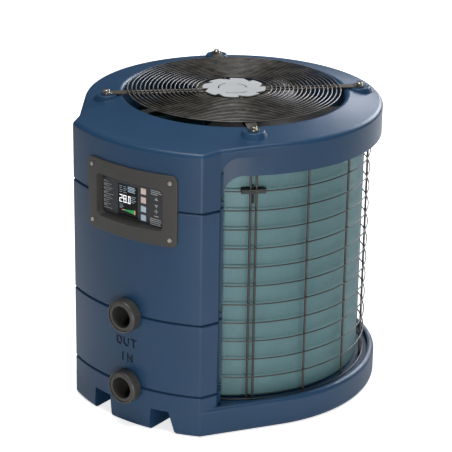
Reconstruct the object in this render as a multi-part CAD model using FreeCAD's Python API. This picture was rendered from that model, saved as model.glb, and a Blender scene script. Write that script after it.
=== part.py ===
import FreeCAD, Part
import math
import os

from FreeCAD import Vector

# Vertical-discharge pool heat pump, in millimetres.
# The origin is on the fan axis, at the plane the unit stands on; the front faces -Y and +Z is up.

# ---- casing outline -------------------------------------------------------------------------
BODY_RADIUS = 336.0  # round casing behind the front block
FRONT_STANDOFF = 60.0
FRONT_RADIUS = BODY_RADIUS + FRONT_STANDOFF  # curved front face
FRONT_CENTRE_Y = 6.0           # centre of the front face's arc, on the Y axis
BLOCK_INSET = 157.0             # the front block is this much narrower than the round casing
FRONT_HALF_WIDTH = BODY_RADIUS - BLOCK_INSET  # crease between the front face and each side facet
FACET_LENGTH = 44.0
FACET_ANGLE = 21.3  # degrees off the depth axis
STEP_ANGLE = 58.0              # where the front block steps back to the round casing, off +X
BAY_ANGLE = 56.8               # front edge of the coil bay opening, off +X
CREASE_ROUND = 10.0
FACET_ROUND = 12.0
STEP_ROUND = 14.0
WALL = 5.0                     # moulded casing walls

# ---- heights --------------------------------------------------------------------------------
BORE_RIM_Z = 681.0
DECK_UNDERSIDE = 54.0
DECK = 5.0
DECK_TOP = DECK_UNDERSIDE + DECK
TRAY_LIP_TOP = DECK_TOP + 7.5
PORT_SPACING = 170.6
PORT_Z = (DECK_TOP + 38.4, DECK_TOP + 38.4 + PORT_SPACING)         # water inlet and outlet, each centred on a panel joint
COWL_JOINT_Z = BORE_RIM_Z - 155.0
BAY_TOP = BORE_RIM_Z - 84.0
RIM_EDGE_Z = BORE_RIM_Z - 16.5  # cowl top where it meets the round casing
FRONT_EDGE_Z = BORE_RIM_Z - 23.0  # cowl top at the front face
JOINT_GAP = 4.0  # shadow line between two panels
JOINT_CHAMFER = 3.2
TONGUE = 3.0                   # lip of the lower panel behind the upper one
TONGUE_HEIGHT = 12.0
FIT = 0.3                      # clearance between pieces that are put together by hand

# ---- port labels ----------------------------------------------------------------------------
LETTER_SIZE = (12.0, 17.0)
LETTER_SPACE = 8.0
LETTER_STROKE = 4.6
LETTER_DEPTH = 2.2
LABEL_Z = (PORT_Z[0] + 65.6, PORT_Z[0] + 103.1)
LABEL_SHIFT = -5.0             # labels start a little left of the unions

# ---- cowl -----------------------------------------------------------------------------------
BORE_RADIUS = BODY_RADIUS - 86.0
BORE_LIP_ROUND = 9.0
COWL_EDGE_ROUND = 9.5
BAY_CORNER = 45.0
SCOOP_TOP = BORE_RIM_Z - 40.0  # where the step beside the coil bay dies out under the rim
SCOOP_CORNER = 38.0
SCOOP_RUN_IN = 60.0            # the scoop's wall runs past the step at both ends
SCOOP_END = 3.4                # degrees before the side wall meets the round casing
BAY_CUT_RADIUS = 200.0

# ---- base -----------------------------------------------------------------------------------
BASE_RADIUS = BODY_RADIUS + 4.0
BASE_WALL = 14.0
BASE_FOOT_ROUND = 12.0
TRAY_LIP_ROUND = 10.0
CHANNELS = ((-94.0, -44.0, 5.0), (69.0, 111.0, 16.0))  # lifting channels: left, right, lean of the right side
CHANNEL_LEAN = 4.0             # lean of the left side
CHANNEL_LENGTH = 235.0
RIB = 5.0

# ---- water unions ---------------------------------------------------------------------------
PORT_X = 11.0  # unions sit a little right of the fan axis
PIPE_RADIUS = 25.0             # bore for 50 mm pool pipe
TAIL_RADIUS = PIPE_RADIUS + 5.0
TAIL_FLANGE_RADIUS = TAIL_RADIUS + 3.0
TAIL_FLANGE = 5.0
NUT_RADIUS = TAIL_FLANGE_RADIUS + 4.5
NUT_LENGTH = 24.0
NUT_ROUND = 6.0
NUT_RUNNING = 0.1
UNION_FACE_Y = -FRONT_RADIUS - 20.0
UNION_RECESS = 2.0
PORT_HOLE_RADIUS = TAIL_RADIUS + 1.5  # ---- control panel --------------------------------------------------------------------------
PANEL_X = 12.0
PANEL_Z = COWL_JOINT_Z + 0.5
BEZEL_SIZE = (237.0, 161.0)
BEZEL_CORNER = 14.0
BEZEL_THICK = 4.0
GASKET = 1.0
RECESS_SIZE = (186.0, 100.0)   # mouth of the recess, on the curved face
WINDOW_OPENING = (171.0, 89.0)
RECESS_CORNER = 10.0
RECESS_WALL = 3.0
WINDOW_Y = 24.0 - FRONT_RADIUS
WINDOW_MARGIN = 8.0
WINDOW_THICK = 3.0
CUTOUT_CLEARANCE = 2.0
LCD_CENTRE = (PANEL_X - 15.0, PANEL_Z - 4.5)
LCD_SIZE = (54.0, 71.0)
KEY_X = PANEL_X + 28.0
KEY_Z = tuple(PANEL_Z + step for step in (27.1, 7.1, -12.9, -32.9))
KEY_SIZE = 13.5
KEY_GAP = 0.25
KEY_PROUD = 0.8
KEY_TRAVEL = 0.6
KEY_FLANGE = 2.0
PCB = 1.6
PCB_Y = WINDOW_Y + 12.0
HOUSING_DEPTH = 24.0
HOUSING_WALL = 2.5
PANEL_SCREW_SPREAD = (102.5, 64.0)

# ---- fan guard ------------------------------------------------------------------------------
GUARD_RING_RADII = (85.0, BORE_RADIUS - 10.0)
GUARD_RINGS = 17
GUARD_WIRE = 1.5
ARM_ANGLES = (45.0, 135.0, 225.0, 315.0)
ARM_BOLT_RADIUS = BORE_RADIUS + 37.5
ARM_WIDTH = 24.0
ARM_THICK = 2.5
ARM_INNER = BORE_RADIUS - 24.0
ARM_WIRE = 2.4
ARM_WIRE_SPREAD = 8.0
PAD_TOP = BORE_RIM_Z - 0.5
PAD_DEPTH = 16.0
PAD_RADIUS = 24.0
PAD_FLARE = 8.0
PAD_EDGE = 2.5
BOLT_RADIUS = 4.0
INSERT_RADIUS = 6.0
INSERT_DEPTH = 20.0
BOSS_RADIUS = 11.0
WASHER_RADIUS = 12.5
WASHER = 1.6
HEX_ACROSS_FLATS = 13.0
HEX_HEIGHT = 5.5
HUB_PLATE_RADIUS = 71.0
HUB_PLATE = 2.0
HUB_NOTCHES = 8
HUB_NOTCH_DEPTH = 13.0
HUB_SLOT = 3.0
HUB_SLOT_RADIUS = 28.0
HUB_SLOT_STEP = 7.0
HUB_SKIRT_RADIUS = 54.0
MOUNT_RADIUS = 90.0
MOUNT_PLATE = 3.0

# ---- fan and motor --------------------------------------------------------------------------
STATOR_RADIUS = 50.0
STATOR_FLANGE_RADIUS = 58.0
STATOR_FLANGE = 7.0
ROTOR_RADIUS = 66.0
ROTOR_WALL = 4.0
ROTOR_TOP = BORE_RIM_Z - 17.0
ROTOR_BOTTOM = ROTOR_TOP - 60.0
AXLE_RADIUS = 9.0
AXLE_RUNNING = 0.05
BLADES = 5
BLADE_TIP_RADIUS = BORE_RADIUS - 8.0
BLADE_THICK = 3.0
BLADE_ROOT = (96.0, 31.0)      # chord, pitch in degrees
BLADE_TIP = (150.0, 19.0)
BLADE_SWEEP = 16.0             # degrees the tip leads the root
BLADE_CAMBER = 9.0

# ---- evaporator and its wire guard ----------------------------------------------------------
COIL_CLEAR = 1.0               # between the coil and the wall of the fan bore
COIL_DEPTH = 41.0
COIL_INNER = BORE_RADIUS + WALL + COIL_CLEAR
COIL_OUTER = COIL_INNER + COIL_DEPTH
COIL_BOTTOM = DECK_TOP + 3.0
COIL_TOP = BAY_TOP + 3.0
COIL_START = -59.0
END_PLATE = 2.0
COIL_FEET_ANGLES = (-45.0, -5.0, 35.0, 75.0, 105.0, 145.0, 185.0, 225.0)
BEND_COUNT = 11
BEND_PITCH = 24.0
BEND_TUBE = 4.8
CAGE_RADIUS = COIL_OUTER + 15.5
CAGE_WIRE = 1.5
CAGE_PITCH = 43.8
CAGE_TOP = BAY_TOP - 44.8
CAGE_RINGS = 11
CAGE_START = -58.2
ROD_RADIUS = 2.6
ROD_PITCH = 23.3
ROD_FIRST = -21.3
RODS = 11
ROD_PAIR = (-44.0, -46.4)
POST_SIZE = (22.0, 14.0)
POST_TOP = BAY_TOP + 15.0
NOTCH_HEIGHTS = (COWL_JOINT_Z + 20.0, PORT_Z[1] + 20.0, PORT_Z[0] + 13.6)
NOTCH_RADIUS = 7.0
CLIP_SIZE = (54.0, 9.0, 9.0)
PROBE_RADIUS = 2.5

# ---- refrigerant circuit --------------------------------------------------------------------
VESSEL_Y = 96.0 - FRONT_RADIUS
VESSEL_RADIUS = 68.0
VESSEL_WALL = 6.0
VESSEL_TOP = PORT_Z[1] + 44.0
VESSEL_LID = 14.0
VESSEL_STUB = 8.0
VESSEL_PORTS_X = (PORT_X - 30.0, PORT_X + 30.0)
COMPRESSOR = (-10.0, 40.0)
COMPRESSOR_RADIUS = 62.0
COMPRESSOR_Z = (DECK_TOP + 19.0, DECK_TOP + 259.0)
COMPRESSOR_DOME = 22.0
FEET_RADIUS = 82.0
FEET_ANGLES = (90.0, 210.0, 330.0)
FOOT_RADIUS = 14.0
ACCUMULATOR_X = 90.0
ACCUMULATOR_RADIUS = 28.0
ACCUMULATOR_Z = (125.0, 270.0)
LINE_RADIUS = 6.0
LINE_WALL = 1.0
VALVE_Z = 450.0
VALVE_Y = -60.0
VALVE_RADIUS = 14.0
VALVE_LENGTH = 96.0
VALVE_PORT_PITCH = 30.0
VALVE_STUB = 16.0
DRIER_X = 106.0
DRIER_RADIUS = 16.0
DRIER_Z = (VESSEL_TOP - 136.0, VESSEL_TOP - 62.0)
EXPANSION_Z = (VESSEL_TOP - 206.0, VESSEL_TOP - 166.0)
HEADER_OFFSET = (-17.4, -8.0)    # header pipe from the middle of the coil's end
HEADER_RADIUS = 8.0
HEADER_Z = (150.0, 560.0)
HEADER_STUBS = 5
CONDENSER_LEVEL = 362.0
EVAPORATOR_LEVEL = 395.0

# ---- bulkhead and electrics -----------------------------------------------------------------
BULKHEAD_STANDOFF = 2.6         # bulkhead ahead of the coil's inner corner
BULKHEAD = 2.0
BULKHEAD_CLEAR = 6.0           # between the bulkhead's edges and the coil
BOX_X = (-112.0, 80.0)
BOX_Z = (385.0, 562.0)
BOX_DEPTH = 78.0
BOX_SHEET = 1.5
GLAND_ANGLE = 150.0
GLAND_Z = 30.0
GLAND_RADIUS = 9.0
GLAND_BORE = 5.0
DRAIN_Y = BODY_RADIUS - 44.0
DRAIN_RADIUS = 9.5
DRAIN_BORE = 7.0
DRAIN_COLLAR = 11.0
DRAIN_LENGTH = 32.0

UP = Vector(0, 0, 1)
BACK = Vector(0, 1, 0)
ACROSS = Vector(1, 0, 0)


def polar(radius, degrees, z=0.0):
    angle = math.radians(degrees)
    return Vector(radius * math.cos(angle), radius * math.sin(angle), z)


COIL_CORNER = polar(COIL_INNER, COIL_START)
BULKHEAD_Y = COIL_CORNER.y - BULKHEAD_STANDOFF
BULKHEAD_HALF_WIDTH = COIL_CORNER.x - BULKHEAD_CLEAR
HEADER = polar(COIL_INNER + COIL_DEPTH / 2, COIL_START) + Vector(*HEADER_OFFSET, 0)


def mirror_x(point):
    return Vector(-point.x, point.y, point.z)


def cylinder(radius, height, base, axis=UP):
    return Part.makeCylinder(radius, height, base, axis)


def tube(outer, inner, height, base, axis=UP):
    return cylinder(outer, height, base, axis).cut(cylinder(inner, height, base, axis))


def block(x0, x1, y0, y1, z0, z1):
    return Part.makeBox(x1 - x0, y1 - y0, z1 - z0, Vector(x0, y0, z0))


def fused(shapes):
    shapes = list(shapes)
    return shapes[0].multiFuse(shapes[1:]).removeSplitter() if len(shapes) > 1 else shapes[0]


def prism(wire, z0, z1):
    face = Part.Face(wire)
    face.translate(Vector(0, 0, z0))
    return face.extrude(Vector(0, 0, z1 - z0))


def polygon_prism(points, z0, z1):
    return prism(Part.makePolygon(list(points) + [points[0]]), z0, z1)


def nearest_upright(shape, point):
    """The vertical edge that stands closest to a plan point."""
    def reach(edge):
        first, last = edge.Vertexes[0].Point, edge.Vertexes[-1].Point
        if math.hypot(first.x - last.x, first.y - last.y) > 0.01:
            return 1e9
        return math.hypot(first.x - point.x, first.y - point.y)
    return min(shape.Edges, key=reach)


def volume(shape):
    return shape.Volume


def export(name, *solids):
    shape = solids[0] if len(solids) == 1 else Part.makeCompound(list(solids))
    shape.exportStep("parts/" + name + ".step")


# ---- plan outlines --------------------------------------------------------------------------

def crease_point():
    depth = math.sqrt(FRONT_RADIUS ** 2 - FRONT_HALF_WIDTH ** 2)
    return Vector(FRONT_HALF_WIDTH, FRONT_CENTRE_Y - depth, 0)


def facet_end():
    angle = math.radians(FACET_ANGLE)
    return crease_point() + Vector(math.sin(angle), math.cos(angle), 0) * FACET_LENGTH


def front_middle():
    return Vector(0, FRONT_CENTRE_Y - FRONT_RADIUS, 0)


def line(a, b):
    return Part.LineSegment(a, b).toShape()


def arc(a, middle, b):
    return Part.Arc(a, middle, b).toShape()


def front_edges():
    """Left facet, curved front and right facet, from left to right."""
    right, corner = crease_point(), facet_end()
    return [line(mirror_x(corner), mirror_x(right)),
            arc(mirror_x(right), front_middle(), right),
            line(right, corner)]


def stepped_outline(radius):
    """Front block that steps back to the round casing beside the coil bay."""
    corner, step = facet_end(), polar(radius, -STEP_ANGLE)
    edges = front_edges()
    edges.append(line(corner, step))
    edges.append(arc(step, Vector(0, radius, 0), mirror_x(step)))
    edges.append(line(mirror_x(step), mirror_x(corner)))
    return Part.Wire(edges)


def tangent_point(corner, radius):
    """Where a straight side from a corner meets the round casing."""
    spread = math.acos(radius / corner.Length)
    return polar(radius, math.degrees(math.atan2(corner.y, corner.x) + spread))


def hood_outline(radius):
    """Front block whose sides run straight into the round casing."""
    corner = facet_end()
    meet = tangent_point(corner, radius)
    edges = front_edges()
    edges.append(line(corner, meet))
    edges.append(arc(meet, Vector(0, radius, 0), mirror_x(meet)))
    edges.append(line(mirror_x(meet), mirror_x(corner)))
    return Part.Wire(edges)


def inset(wire, distance):
    return wire.makeOffset2D(-distance, 2) if distance else wire


def round_corners(solid, distance, corners):
    """Round a column's upright edges; an inset column keeps the same corner centres."""
    for point, size, outward in corners:
        radius = max(size - distance, 1.0) if outward else size + distance
        edges = [nearest_upright(solid, spot) for spot in (point, mirror_x(point))]
        solid = solid.makeFillet(radius, edges)
    return solid


def stepped_column(radius, distance, z0, z1):
    """The stepped outline drawn in by a distance, as a column with rounded corners."""
    solid = prism(inset(stepped_outline(radius), distance), z0, z1)
    corners = ((crease_point(), CREASE_ROUND, True),
               (facet_end(), FACET_ROUND, True),
               (polar(radius - distance, -STEP_ANGLE), STEP_ROUND, False))
    return round_corners(solid, distance, corners)


def hood_column(radius, distance, z0, z1):
    """The hood outline drawn in by a distance, as a column with rounded corners."""
    solid = prism(inset(hood_outline(radius), distance), z0, z1)
    corners = ((crease_point(), CREASE_ROUND, True), (facet_end(), FACET_ROUND, True))
    return round_corners(solid, distance, corners)


def front_sector(z0, z1):
    """Everything ahead of the two front edges of the coil bay."""
    far = 3 * FRONT_RADIUS
    side = polar(far, -BAY_ANGLE)
    return polygon_prism([Vector(0, 0, 0), mirror_x(side), side], z0, z1)


# ---- casing ---------------------------------------------------------------------------------

def dome_below(drop):
    """Everything under the cowl's top surface, which flattens out towards the front."""
    centre = Vector(0, 0, BORE_RIM_Z + 3 * WALL - drop)
    rim = Vector(BORE_RADIUS, 0, BORE_RIM_Z - drop)
    edge = Vector(BODY_RADIUS, 0, RIM_EDGE_Z - drop)
    front = Vector(FRONT_RADIUS + WALL, 0, FRONT_EDGE_Z - drop)
    foot = Vector(front.x, 0, 0)
    wire = Part.Wire([line(Vector(0, 0, 0), foot), line(foot, front), arc(front, edge, rim),
                      line(rim, centre), line(centre, Vector(0, 0, 0))])
    return Part.Face(wire).revolve(Vector(0, 0, 0), UP, 360)


def top_perimeter(solid):
    """Edges between the domed top and the outer walls."""
    found = []
    for edge in solid.Edges:
        box = edge.BoundBox
        level = box.ZMin > FRONT_EDGE_Z - 3 * WALL and edge.Length > 2.0
        away = max(math.hypot(v.Point.x, v.Point.y) for v in edge.Vertexes) > BODY_RADIUS - 3 * WALL
        if level and away and box.ZMax < BORE_RIM_Z - 2:
            found.append(edge)
    return found


def scoop(distance):
    """Hollow on the right where the front block steps back under the cowl's rim."""
    corner, step = facet_end(), polar(BODY_RADIUS, -STEP_ANGLE)
    along = (corner - step).normalize()
    across = Vector(along.y, -along.x, 0) * distance
    inner, outer = step - along * SCOOP_RUN_IN - across, corner + along * SCOOP_RUN_IN - across
    meet = tangent_point(corner, BODY_RADIUS)
    end_angle = math.degrees(math.atan2(meet.y, meet.x)) - SCOOP_END
    points = [inner, outer, polar(FRONT_RADIUS, end_angle), polar(BORE_RADIUS, end_angle)]
    void = polygon_prism(points, DECK_UNDERSIDE, SCOOP_TOP + distance)
    top_edge = min(void.Edges, key=lambda edge: (edge.CenterOfMass - (inner + outer) * 0.5
                                                 - Vector(0, 0, SCOOP_TOP + distance)).Length)
    void = void.makeFillet(SCOOP_CORNER, [top_edge])
    casing_radius = BODY_RADIUS / math.cos(math.radians(SCOOP_END)) - distance
    void = void.cut(cylinder(casing_radius, SCOOP_TOP + 2 * WALL, Vector(0, 0, 0)))
    return void


def hood(distance):
    """Outer form of the cowl, drawn in by a distance."""
    solid = hood_column(BODY_RADIUS, distance, DECK_UNDERSIDE, BORE_RIM_Z + 4 * WALL).common(dome_below(distance))
    solid = solid.makeFillet(COWL_EDGE_ROUND - distance, top_perimeter(solid))
    right = scoop(distance)
    left = right.mirror(Vector(0, 0, 0), ACROSS)
    return solid.cut(right).cut(left)


def coil_bay():
    """Opening round the back and sides, with rounded upper corners."""
    side = Part.Face(Part.makePolygon([Vector(BAY_CUT_RADIUS, 0, 0), Vector(FRONT_RADIUS, 0, 0),
                                       Vector(FRONT_RADIUS, 0, BAY_TOP), Vector(BAY_CUT_RADIUS, 0, BAY_TOP),
                                       Vector(BAY_CUT_RADIUS, 0, 0)]))
    side.rotate(Vector(0, 0, 0), UP, -BAY_ANGLE)
    void = side.revolve(Vector(0, 0, 0), UP, 180 + 2 * BAY_ANGLE)
    corners = [edge for edge in void.Edges
               if edge.BoundBox.ZMin > BAY_TOP - 1 and edge.Curve.TypeId == "Part::GeomLine"]
    return void.makeFillet(BAY_CORNER, corners)


def bolt_pads():
    """Flat-topped bosses on the cowl under the four guard arms."""
    pads = []
    for angle in ARM_ANGLES:
        centre = polar(ARM_BOLT_RADIUS, angle, PAD_TOP - PAD_DEPTH)
        pad = Part.makeCone(PAD_RADIUS + PAD_FLARE, PAD_RADIUS, PAD_DEPTH, centre, UP)
        pads.append(pad.makeFillet(PAD_EDGE, [pad.Edges[0]]))
    return pads


def cowl_skirt():
    """Front wall of the cowl below the scoop, down to the joint with the upper panel."""
    low, high = COWL_JOINT_Z + JOINT_GAP, SCOOP_TOP - SCOOP_CORNER
    wall = stepped_column(BODY_RADIUS, 0, low, high).cut(stepped_column(BODY_RADIUS, WALL, low, high))
    return wall.common(front_sector(low, high))


def top_cowl():
    shell = hood(0)
    lip = cylinder(BORE_RADIUS, 2 * BORE_RIM_Z, Vector(0, 0, 0))
    shell = fused([shell] + bolt_pads())
    shell = shell.cut(lip)
    rim = [edge for edge in shell.Edges if edge.BoundBox.ZMin > BORE_RIM_Z - 2
           and edge.BoundBox.DiagonalLength > 2 * BORE_RADIUS]
    shell = shell.makeFillet(BORE_LIP_ROUND, rim)
    keep = cylinder(BORE_RADIUS + WALL, 2 * BORE_RIM_Z, Vector(0, 0, 0))
    cavity = hood(WALL).cut(keep)
    for angle in ARM_ANGLES:
        foot = polar(ARM_BOLT_RADIUS, angle, PAD_TOP - INSERT_DEPTH - WALL)
        cavity = cavity.cut(cylinder(BOSS_RADIUS, 2 * INSERT_DEPTH, foot))
    below = cylinder(BORE_RADIUS + 2 * WALL, BAY_TOP, Vector(0, 0, 0))
    bottom = block(-500, 500, -500, 500, 0, COWL_JOINT_Z + JOINT_GAP)
    shell = shell.cut(cavity).cut(below).cut(bottom)
    tongue_room = stepped_column(BODY_RADIUS, WALL, 0, COWL_JOINT_Z + JOINT_GAP + TONGUE_HEIGHT)
    shell = shell.fuse(cowl_skirt()).cut(tongue_room).cut(coil_bay())
    for cut in bay_notches() + [panel_cutout()] + panel_screw_holes(BOLT_RADIUS / 2 + FIT):
        shell = shell.cut(cut)
    for angle in ARM_ANGLES:
        spot = polar(ARM_BOLT_RADIUS, angle, PAD_TOP - INSERT_DEPTH)
        shell = shell.cut(cylinder(INSERT_RADIUS + FIT / 3, 2 * INSERT_DEPTH, spot))
    return max(shell.Solids, key=volume)


def front_wall(bottom, top):
    """Front shell between two heights, with a tongue that goes up behind the panel above."""
    inner = WALL + FIT + TONGUE
    outer = stepped_column(BODY_RADIUS, 0, bottom, top)
    rim = [edge for edge in outer.Edges if edge.BoundBox.ZMin > top - 0.1]
    wall = outer.makeChamfer(JOINT_CHAMFER, rim)
    ledge = top - TONGUE_HEIGHT / 2
    wall = wall.cut(stepped_column(BODY_RADIUS, WALL, bottom, ledge))
    wall = wall.cut(stepped_column(BODY_RADIUS, inner, ledge, top))
    tongue = stepped_column(BODY_RADIUS, WALL + FIT, top - 1, top + TONGUE_HEIGHT)
    tongue = tongue.cut(stepped_column(BODY_RADIUS, inner, top - 1, top + TONGUE_HEIGHT))
    return wall.fuse(tongue).common(front_sector(bottom, top + TONGUE_HEIGHT))


def port_holes(radius=PORT_HOLE_RADIUS):
    length = BODY_RADIUS
    return [cylinder(radius, length, Vector(PORT_X, 3 * UNION_FACE_Y / 2, z), BACK) for z in PORT_Z]


def rounded_frame(width, height, corner, y, x=PANEL_X, z=PANEL_Z):
    """Rounded rectangle that faces the front, as a wire."""
    half_w, half_h = width / 2, height / 2
    edges = []
    for index in range(4):
        side_x = 1 if index in (0, 3) else -1
        side_z = 1 if index in (0, 1) else -1
        centre = Vector(x + side_x * (half_w - corner), y, z + side_z * (half_h - corner))
        start = math.radians(90 * index)
        points = [centre + Vector(math.cos(start + step), 0, math.sin(start + step)) * corner
                  for step in (0, math.pi / 4, math.pi / 2)]
        edges.append(Part.Arc(*points))
    wires = []
    for index in range(4):
        following = edges[(index + 1) % 4]
        wires.append(edges[index].toShape())
        wires.append(line(edges[index].EndPoint, following.StartPoint))
    return Part.Wire(wires)


def framed_block(width, height, corner, y0, y1):
    face = Part.Face(rounded_frame(width, height, corner, y0))
    return face.extrude(Vector(0, y1 - y0, 0))


def recess_form(grow, y_front):
    """Tapered recess from the curved face down to the window."""
    mouth = rounded_frame(RECESS_SIZE[0] + 2 * grow, RECESS_SIZE[1] + 2 * grow, RECESS_CORNER + grow, y_front)
    foot = rounded_frame(WINDOW_OPENING[0] + 2 * grow, WINDOW_OPENING[1] + 2 * grow,
                         RECESS_CORNER + grow, WINDOW_Y)
    return Part.makeLoft([mouth, foot], True, True)


def panel_cutout():
    width = WINDOW_OPENING[0] + 2 * (WINDOW_MARGIN + HOUSING_WALL + CUTOUT_CLEARANCE)
    height = WINDOW_OPENING[1] + 2 * (WINDOW_MARGIN + HOUSING_WALL + CUTOUT_CLEARANCE)
    return framed_block(width, height, RECESS_CORNER, -FRONT_RADIUS - WALL, -BODY_RADIUS + 3 * WALL)


def front_cylinder(radius):
    """Solid cylinder about the front face's own centre."""
    return cylinder(radius, COWL_JOINT_Z * 2, Vector(0, FRONT_CENTRE_Y, 0))


def panel_screw_places():
    """Point on the front face's radius and outward direction for each bezel screw."""
    places = []
    for side in (-1, 1):
        x = PANEL_X + side * PANEL_SCREW_SPREAD[0]
        outward = Vector(x, -math.sqrt(FRONT_RADIUS ** 2 - x ** 2), 0).normalize()
        for level in (-1, 1):
            z = PANEL_Z + level * PANEL_SCREW_SPREAD[1]
            places.append((Vector(0, FRONT_CENTRE_Y, z), outward))
    return places


def panel_screw_holes(radius):
    return [cylinder(radius, 40.0, origin + outward * (FRONT_RADIUS - 25), outward)
            for origin, outward in panel_screw_places()]


def stroke(x0, z0, x1, z1, width):
    """Straight pen stroke of a letter with round ends, cut along the depth axis."""
    run = Vector(x1 - x0, 0, z1 - z0)
    turn = -math.degrees(math.atan2(run.z, run.x))
    bar = Part.makeBox(run.Length, 60, width, Vector(0, 0, -width / 2))
    bar.rotate(Vector(0, 0, 0), BACK, turn)
    bar.translate(Vector(x0, -FRONT_RADIUS - WALL, z0))
    ends = [cylinder(width / 2, 60, Vector(x, -FRONT_RADIUS - WALL, z), BACK) for x, z in ((x0, z0), (x1, z1))]
    return fused([bar] + ends)


def letters(word, centre_z):
    """Port labels, in strokes on a cell that is LETTER_SIZE wide and high."""
    width, height = LETTER_SIZE
    strokes = {
        "O": ((0, 0.2, 0, 0.8), (0, 0.8, 0.3, 1), (0.3, 1, 0.7, 1), (0.7, 1, 1, 0.8), (1, 0.8, 1, 0.2),
              (1, 0.2, 0.7, 0), (0.7, 0, 0.3, 0), (0.3, 0, 0, 0.2)),
        "U": ((0, 1, 0, 0.2), (0, 0.2, 0.3, 0), (0.3, 0, 0.7, 0), (0.7, 0, 1, 0.2), (1, 0.2, 1, 1)),
        "T": ((0, 1, 1, 1), (0.5, 1, 0.5, 0)),
        "I": ((0.5, 0, 0.5, 1),),
        "N": ((0, 0, 0, 1), (0, 1, 1, 0), (1, 0, 1, 1)),
    }
    cuts = []
    start = PORT_X + LABEL_SHIFT - (len(word) * width + (len(word) - 1) * LETTER_SPACE) / 2
    for index, letter in enumerate(word):
        left = start + index * (width + LETTER_SPACE)
        low = centre_z - height / 2
        for x0, z0, x1, z1 in strokes[letter]:
            cuts.append(stroke(left + x0 * width, low + z0 * height, left + x1 * width, low + z1 * height,
                               LETTER_STROKE))
    return fused(cuts).cut(front_cylinder(FRONT_RADIUS - LETTER_DEPTH))


def bay_notches():
    """Half-round notches in the edge of the coil bay, on both sides."""
    cuts = []
    for z in NOTCH_HEIGHTS:
        for angle in (-BAY_ANGLE, 180 + BAY_ANGLE):
            inward = polar(1, angle)
            cuts.append(cylinder(NOTCH_RADIUS, 4 * WALL, inward * (BODY_RADIUS - 2 * WALL) + UP * z, inward))
    return cuts


def lower_front_panel():
    shell = front_wall(PORT_Z[0] + JOINT_GAP, PORT_Z[1])
    for cut in port_holes() + bay_notches() + [letters("OUT", LABEL_Z[1]), letters("IN", LABEL_Z[0])]:
        shell = shell.cut(cut)
    return shell


def upper_front_panel():
    shell = front_wall(PORT_Z[1] + JOINT_GAP, COWL_JOINT_Z)
    for cut in port_holes() + bay_notches() + [panel_cutout()] + panel_screw_holes(BOLT_RADIUS / 2 + FIT):
        shell = shell.cut(cut)
    return shell


def channel(left, right, lean):
    """One slinging channel that runs back under the base."""
    front = -FRONT_RADIUS - WALL
    points = [Vector(left - CHANNEL_LEAN, front, -1), Vector(right + lean, front, -1),
              Vector(right, front, DECK_UNDERSIDE), Vector(left, front, DECK_UNDERSIDE)]
    face = Part.Face(Part.makePolygon(points + [points[0]]))
    return face.extrude(Vector(0, CHANNEL_LENGTH, 0))


def channel_walls(left, right, lean):
    """Two ribs and an end wall that close a channel off from the hollow base."""
    front = -FRONT_RADIUS - WALL
    return block(left - CHANNEL_LEAN - RIB, right + lean + RIB, front, front + CHANNEL_LENGTH + RIB,
                 0, DECK_UNDERSIDE + 1)


def base_outline(distance, z0, z1):
    """The base drawn in by a distance; its sides run straight from the front corners into the round."""
    right = crease_point()
    meet = tangent_point(right, BASE_RADIUS)
    edges = [arc(mirror_x(right), front_middle(), right), line(right, meet),
             arc(meet, Vector(0, BASE_RADIUS, 0), mirror_x(meet)), line(mirror_x(meet), mirror_x(right))]
    solid = prism(inset(Part.Wire(edges), distance), z0, z1)
    return round_corners(solid, distance, ((crease_point(), CREASE_ROUND, True),))


def base_tray():
    body = base_outline(0, 0, TRAY_LIP_TOP)
    foot = [edge for edge in body.Edges if edge.BoundBox.ZMax < 0.1]
    body = body.makeFillet(BASE_FOOT_ROUND, foot)
    lip = [edge for edge in body.Edges if edge.BoundBox.ZMin > TRAY_LIP_TOP - 0.1]
    body = body.makeFillet(TRAY_LIP_ROUND, lip)
    body = body.cut(base_outline(BASE_WALL, DECK_TOP, TRAY_LIP_TOP + 1))
    hollow = base_outline(BASE_WALL, -1, DECK_UNDERSIDE)
    ribs = fused([channel_walls(*sizes) for sizes in CHANNELS])
    spine = block(-RIB / 2, RIB / 2, -BODY_RADIUS, BODY_RADIUS, 0, DECK_UNDERSIDE + 1)
    cross = block(-BODY_RADIUS, BODY_RADIUS, COMPRESSOR[1] - RIB / 2, COMPRESSOR[1] + RIB / 2, 0, DECK_UNDERSIDE + 1)
    body = body.cut(hollow.cut(ribs).cut(spine).cut(cross))
    for sizes in CHANNELS:
        body = body.cut(channel(*sizes))
    upstand = front_wall(DECK_UNDERSIDE + DECK / 2, PORT_Z[0])
    body = body.fuse(upstand)
    drain = cylinder(DRAIN_COLLAR + FIT / 3, 2 * DECK_UNDERSIDE, Vector(0, DRAIN_Y, 0))
    gland = cylinder(GLAND_RADIUS + FIT / 3, 3 * BASE_WALL, polar(BASE_RADIUS - 2 * BASE_WALL, GLAND_ANGLE, GLAND_Z),
                     polar(1, GLAND_ANGLE))
    for cut in port_holes() + [drain, gland]:
        body = body.cut(cut)
    return body


# ---- control panel --------------------------------------------------------------------------

def curved_plate(size, corner, inner_radius, outer_radius):
    """Rounded plate that follows the curved front face."""
    slab = framed_block(size[0], size[1], corner, -FRONT_RADIUS - 4 * WALL, -BODY_RADIUS)
    return slab.common(front_cylinder(outer_radius)).cut(front_cylinder(inner_radius))


def bezel_gasket():
    loose = FIT / 3
    plate = curved_plate(BEZEL_SIZE, BEZEL_CORNER, FRONT_RADIUS + loose, FRONT_RADIUS + GASKET - loose)
    plate = plate.cut(panel_cutout())
    for hole in panel_screw_holes(BOLT_RADIUS / 2 + FIT):
        plate = plate.cut(hole)
    return plate


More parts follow.
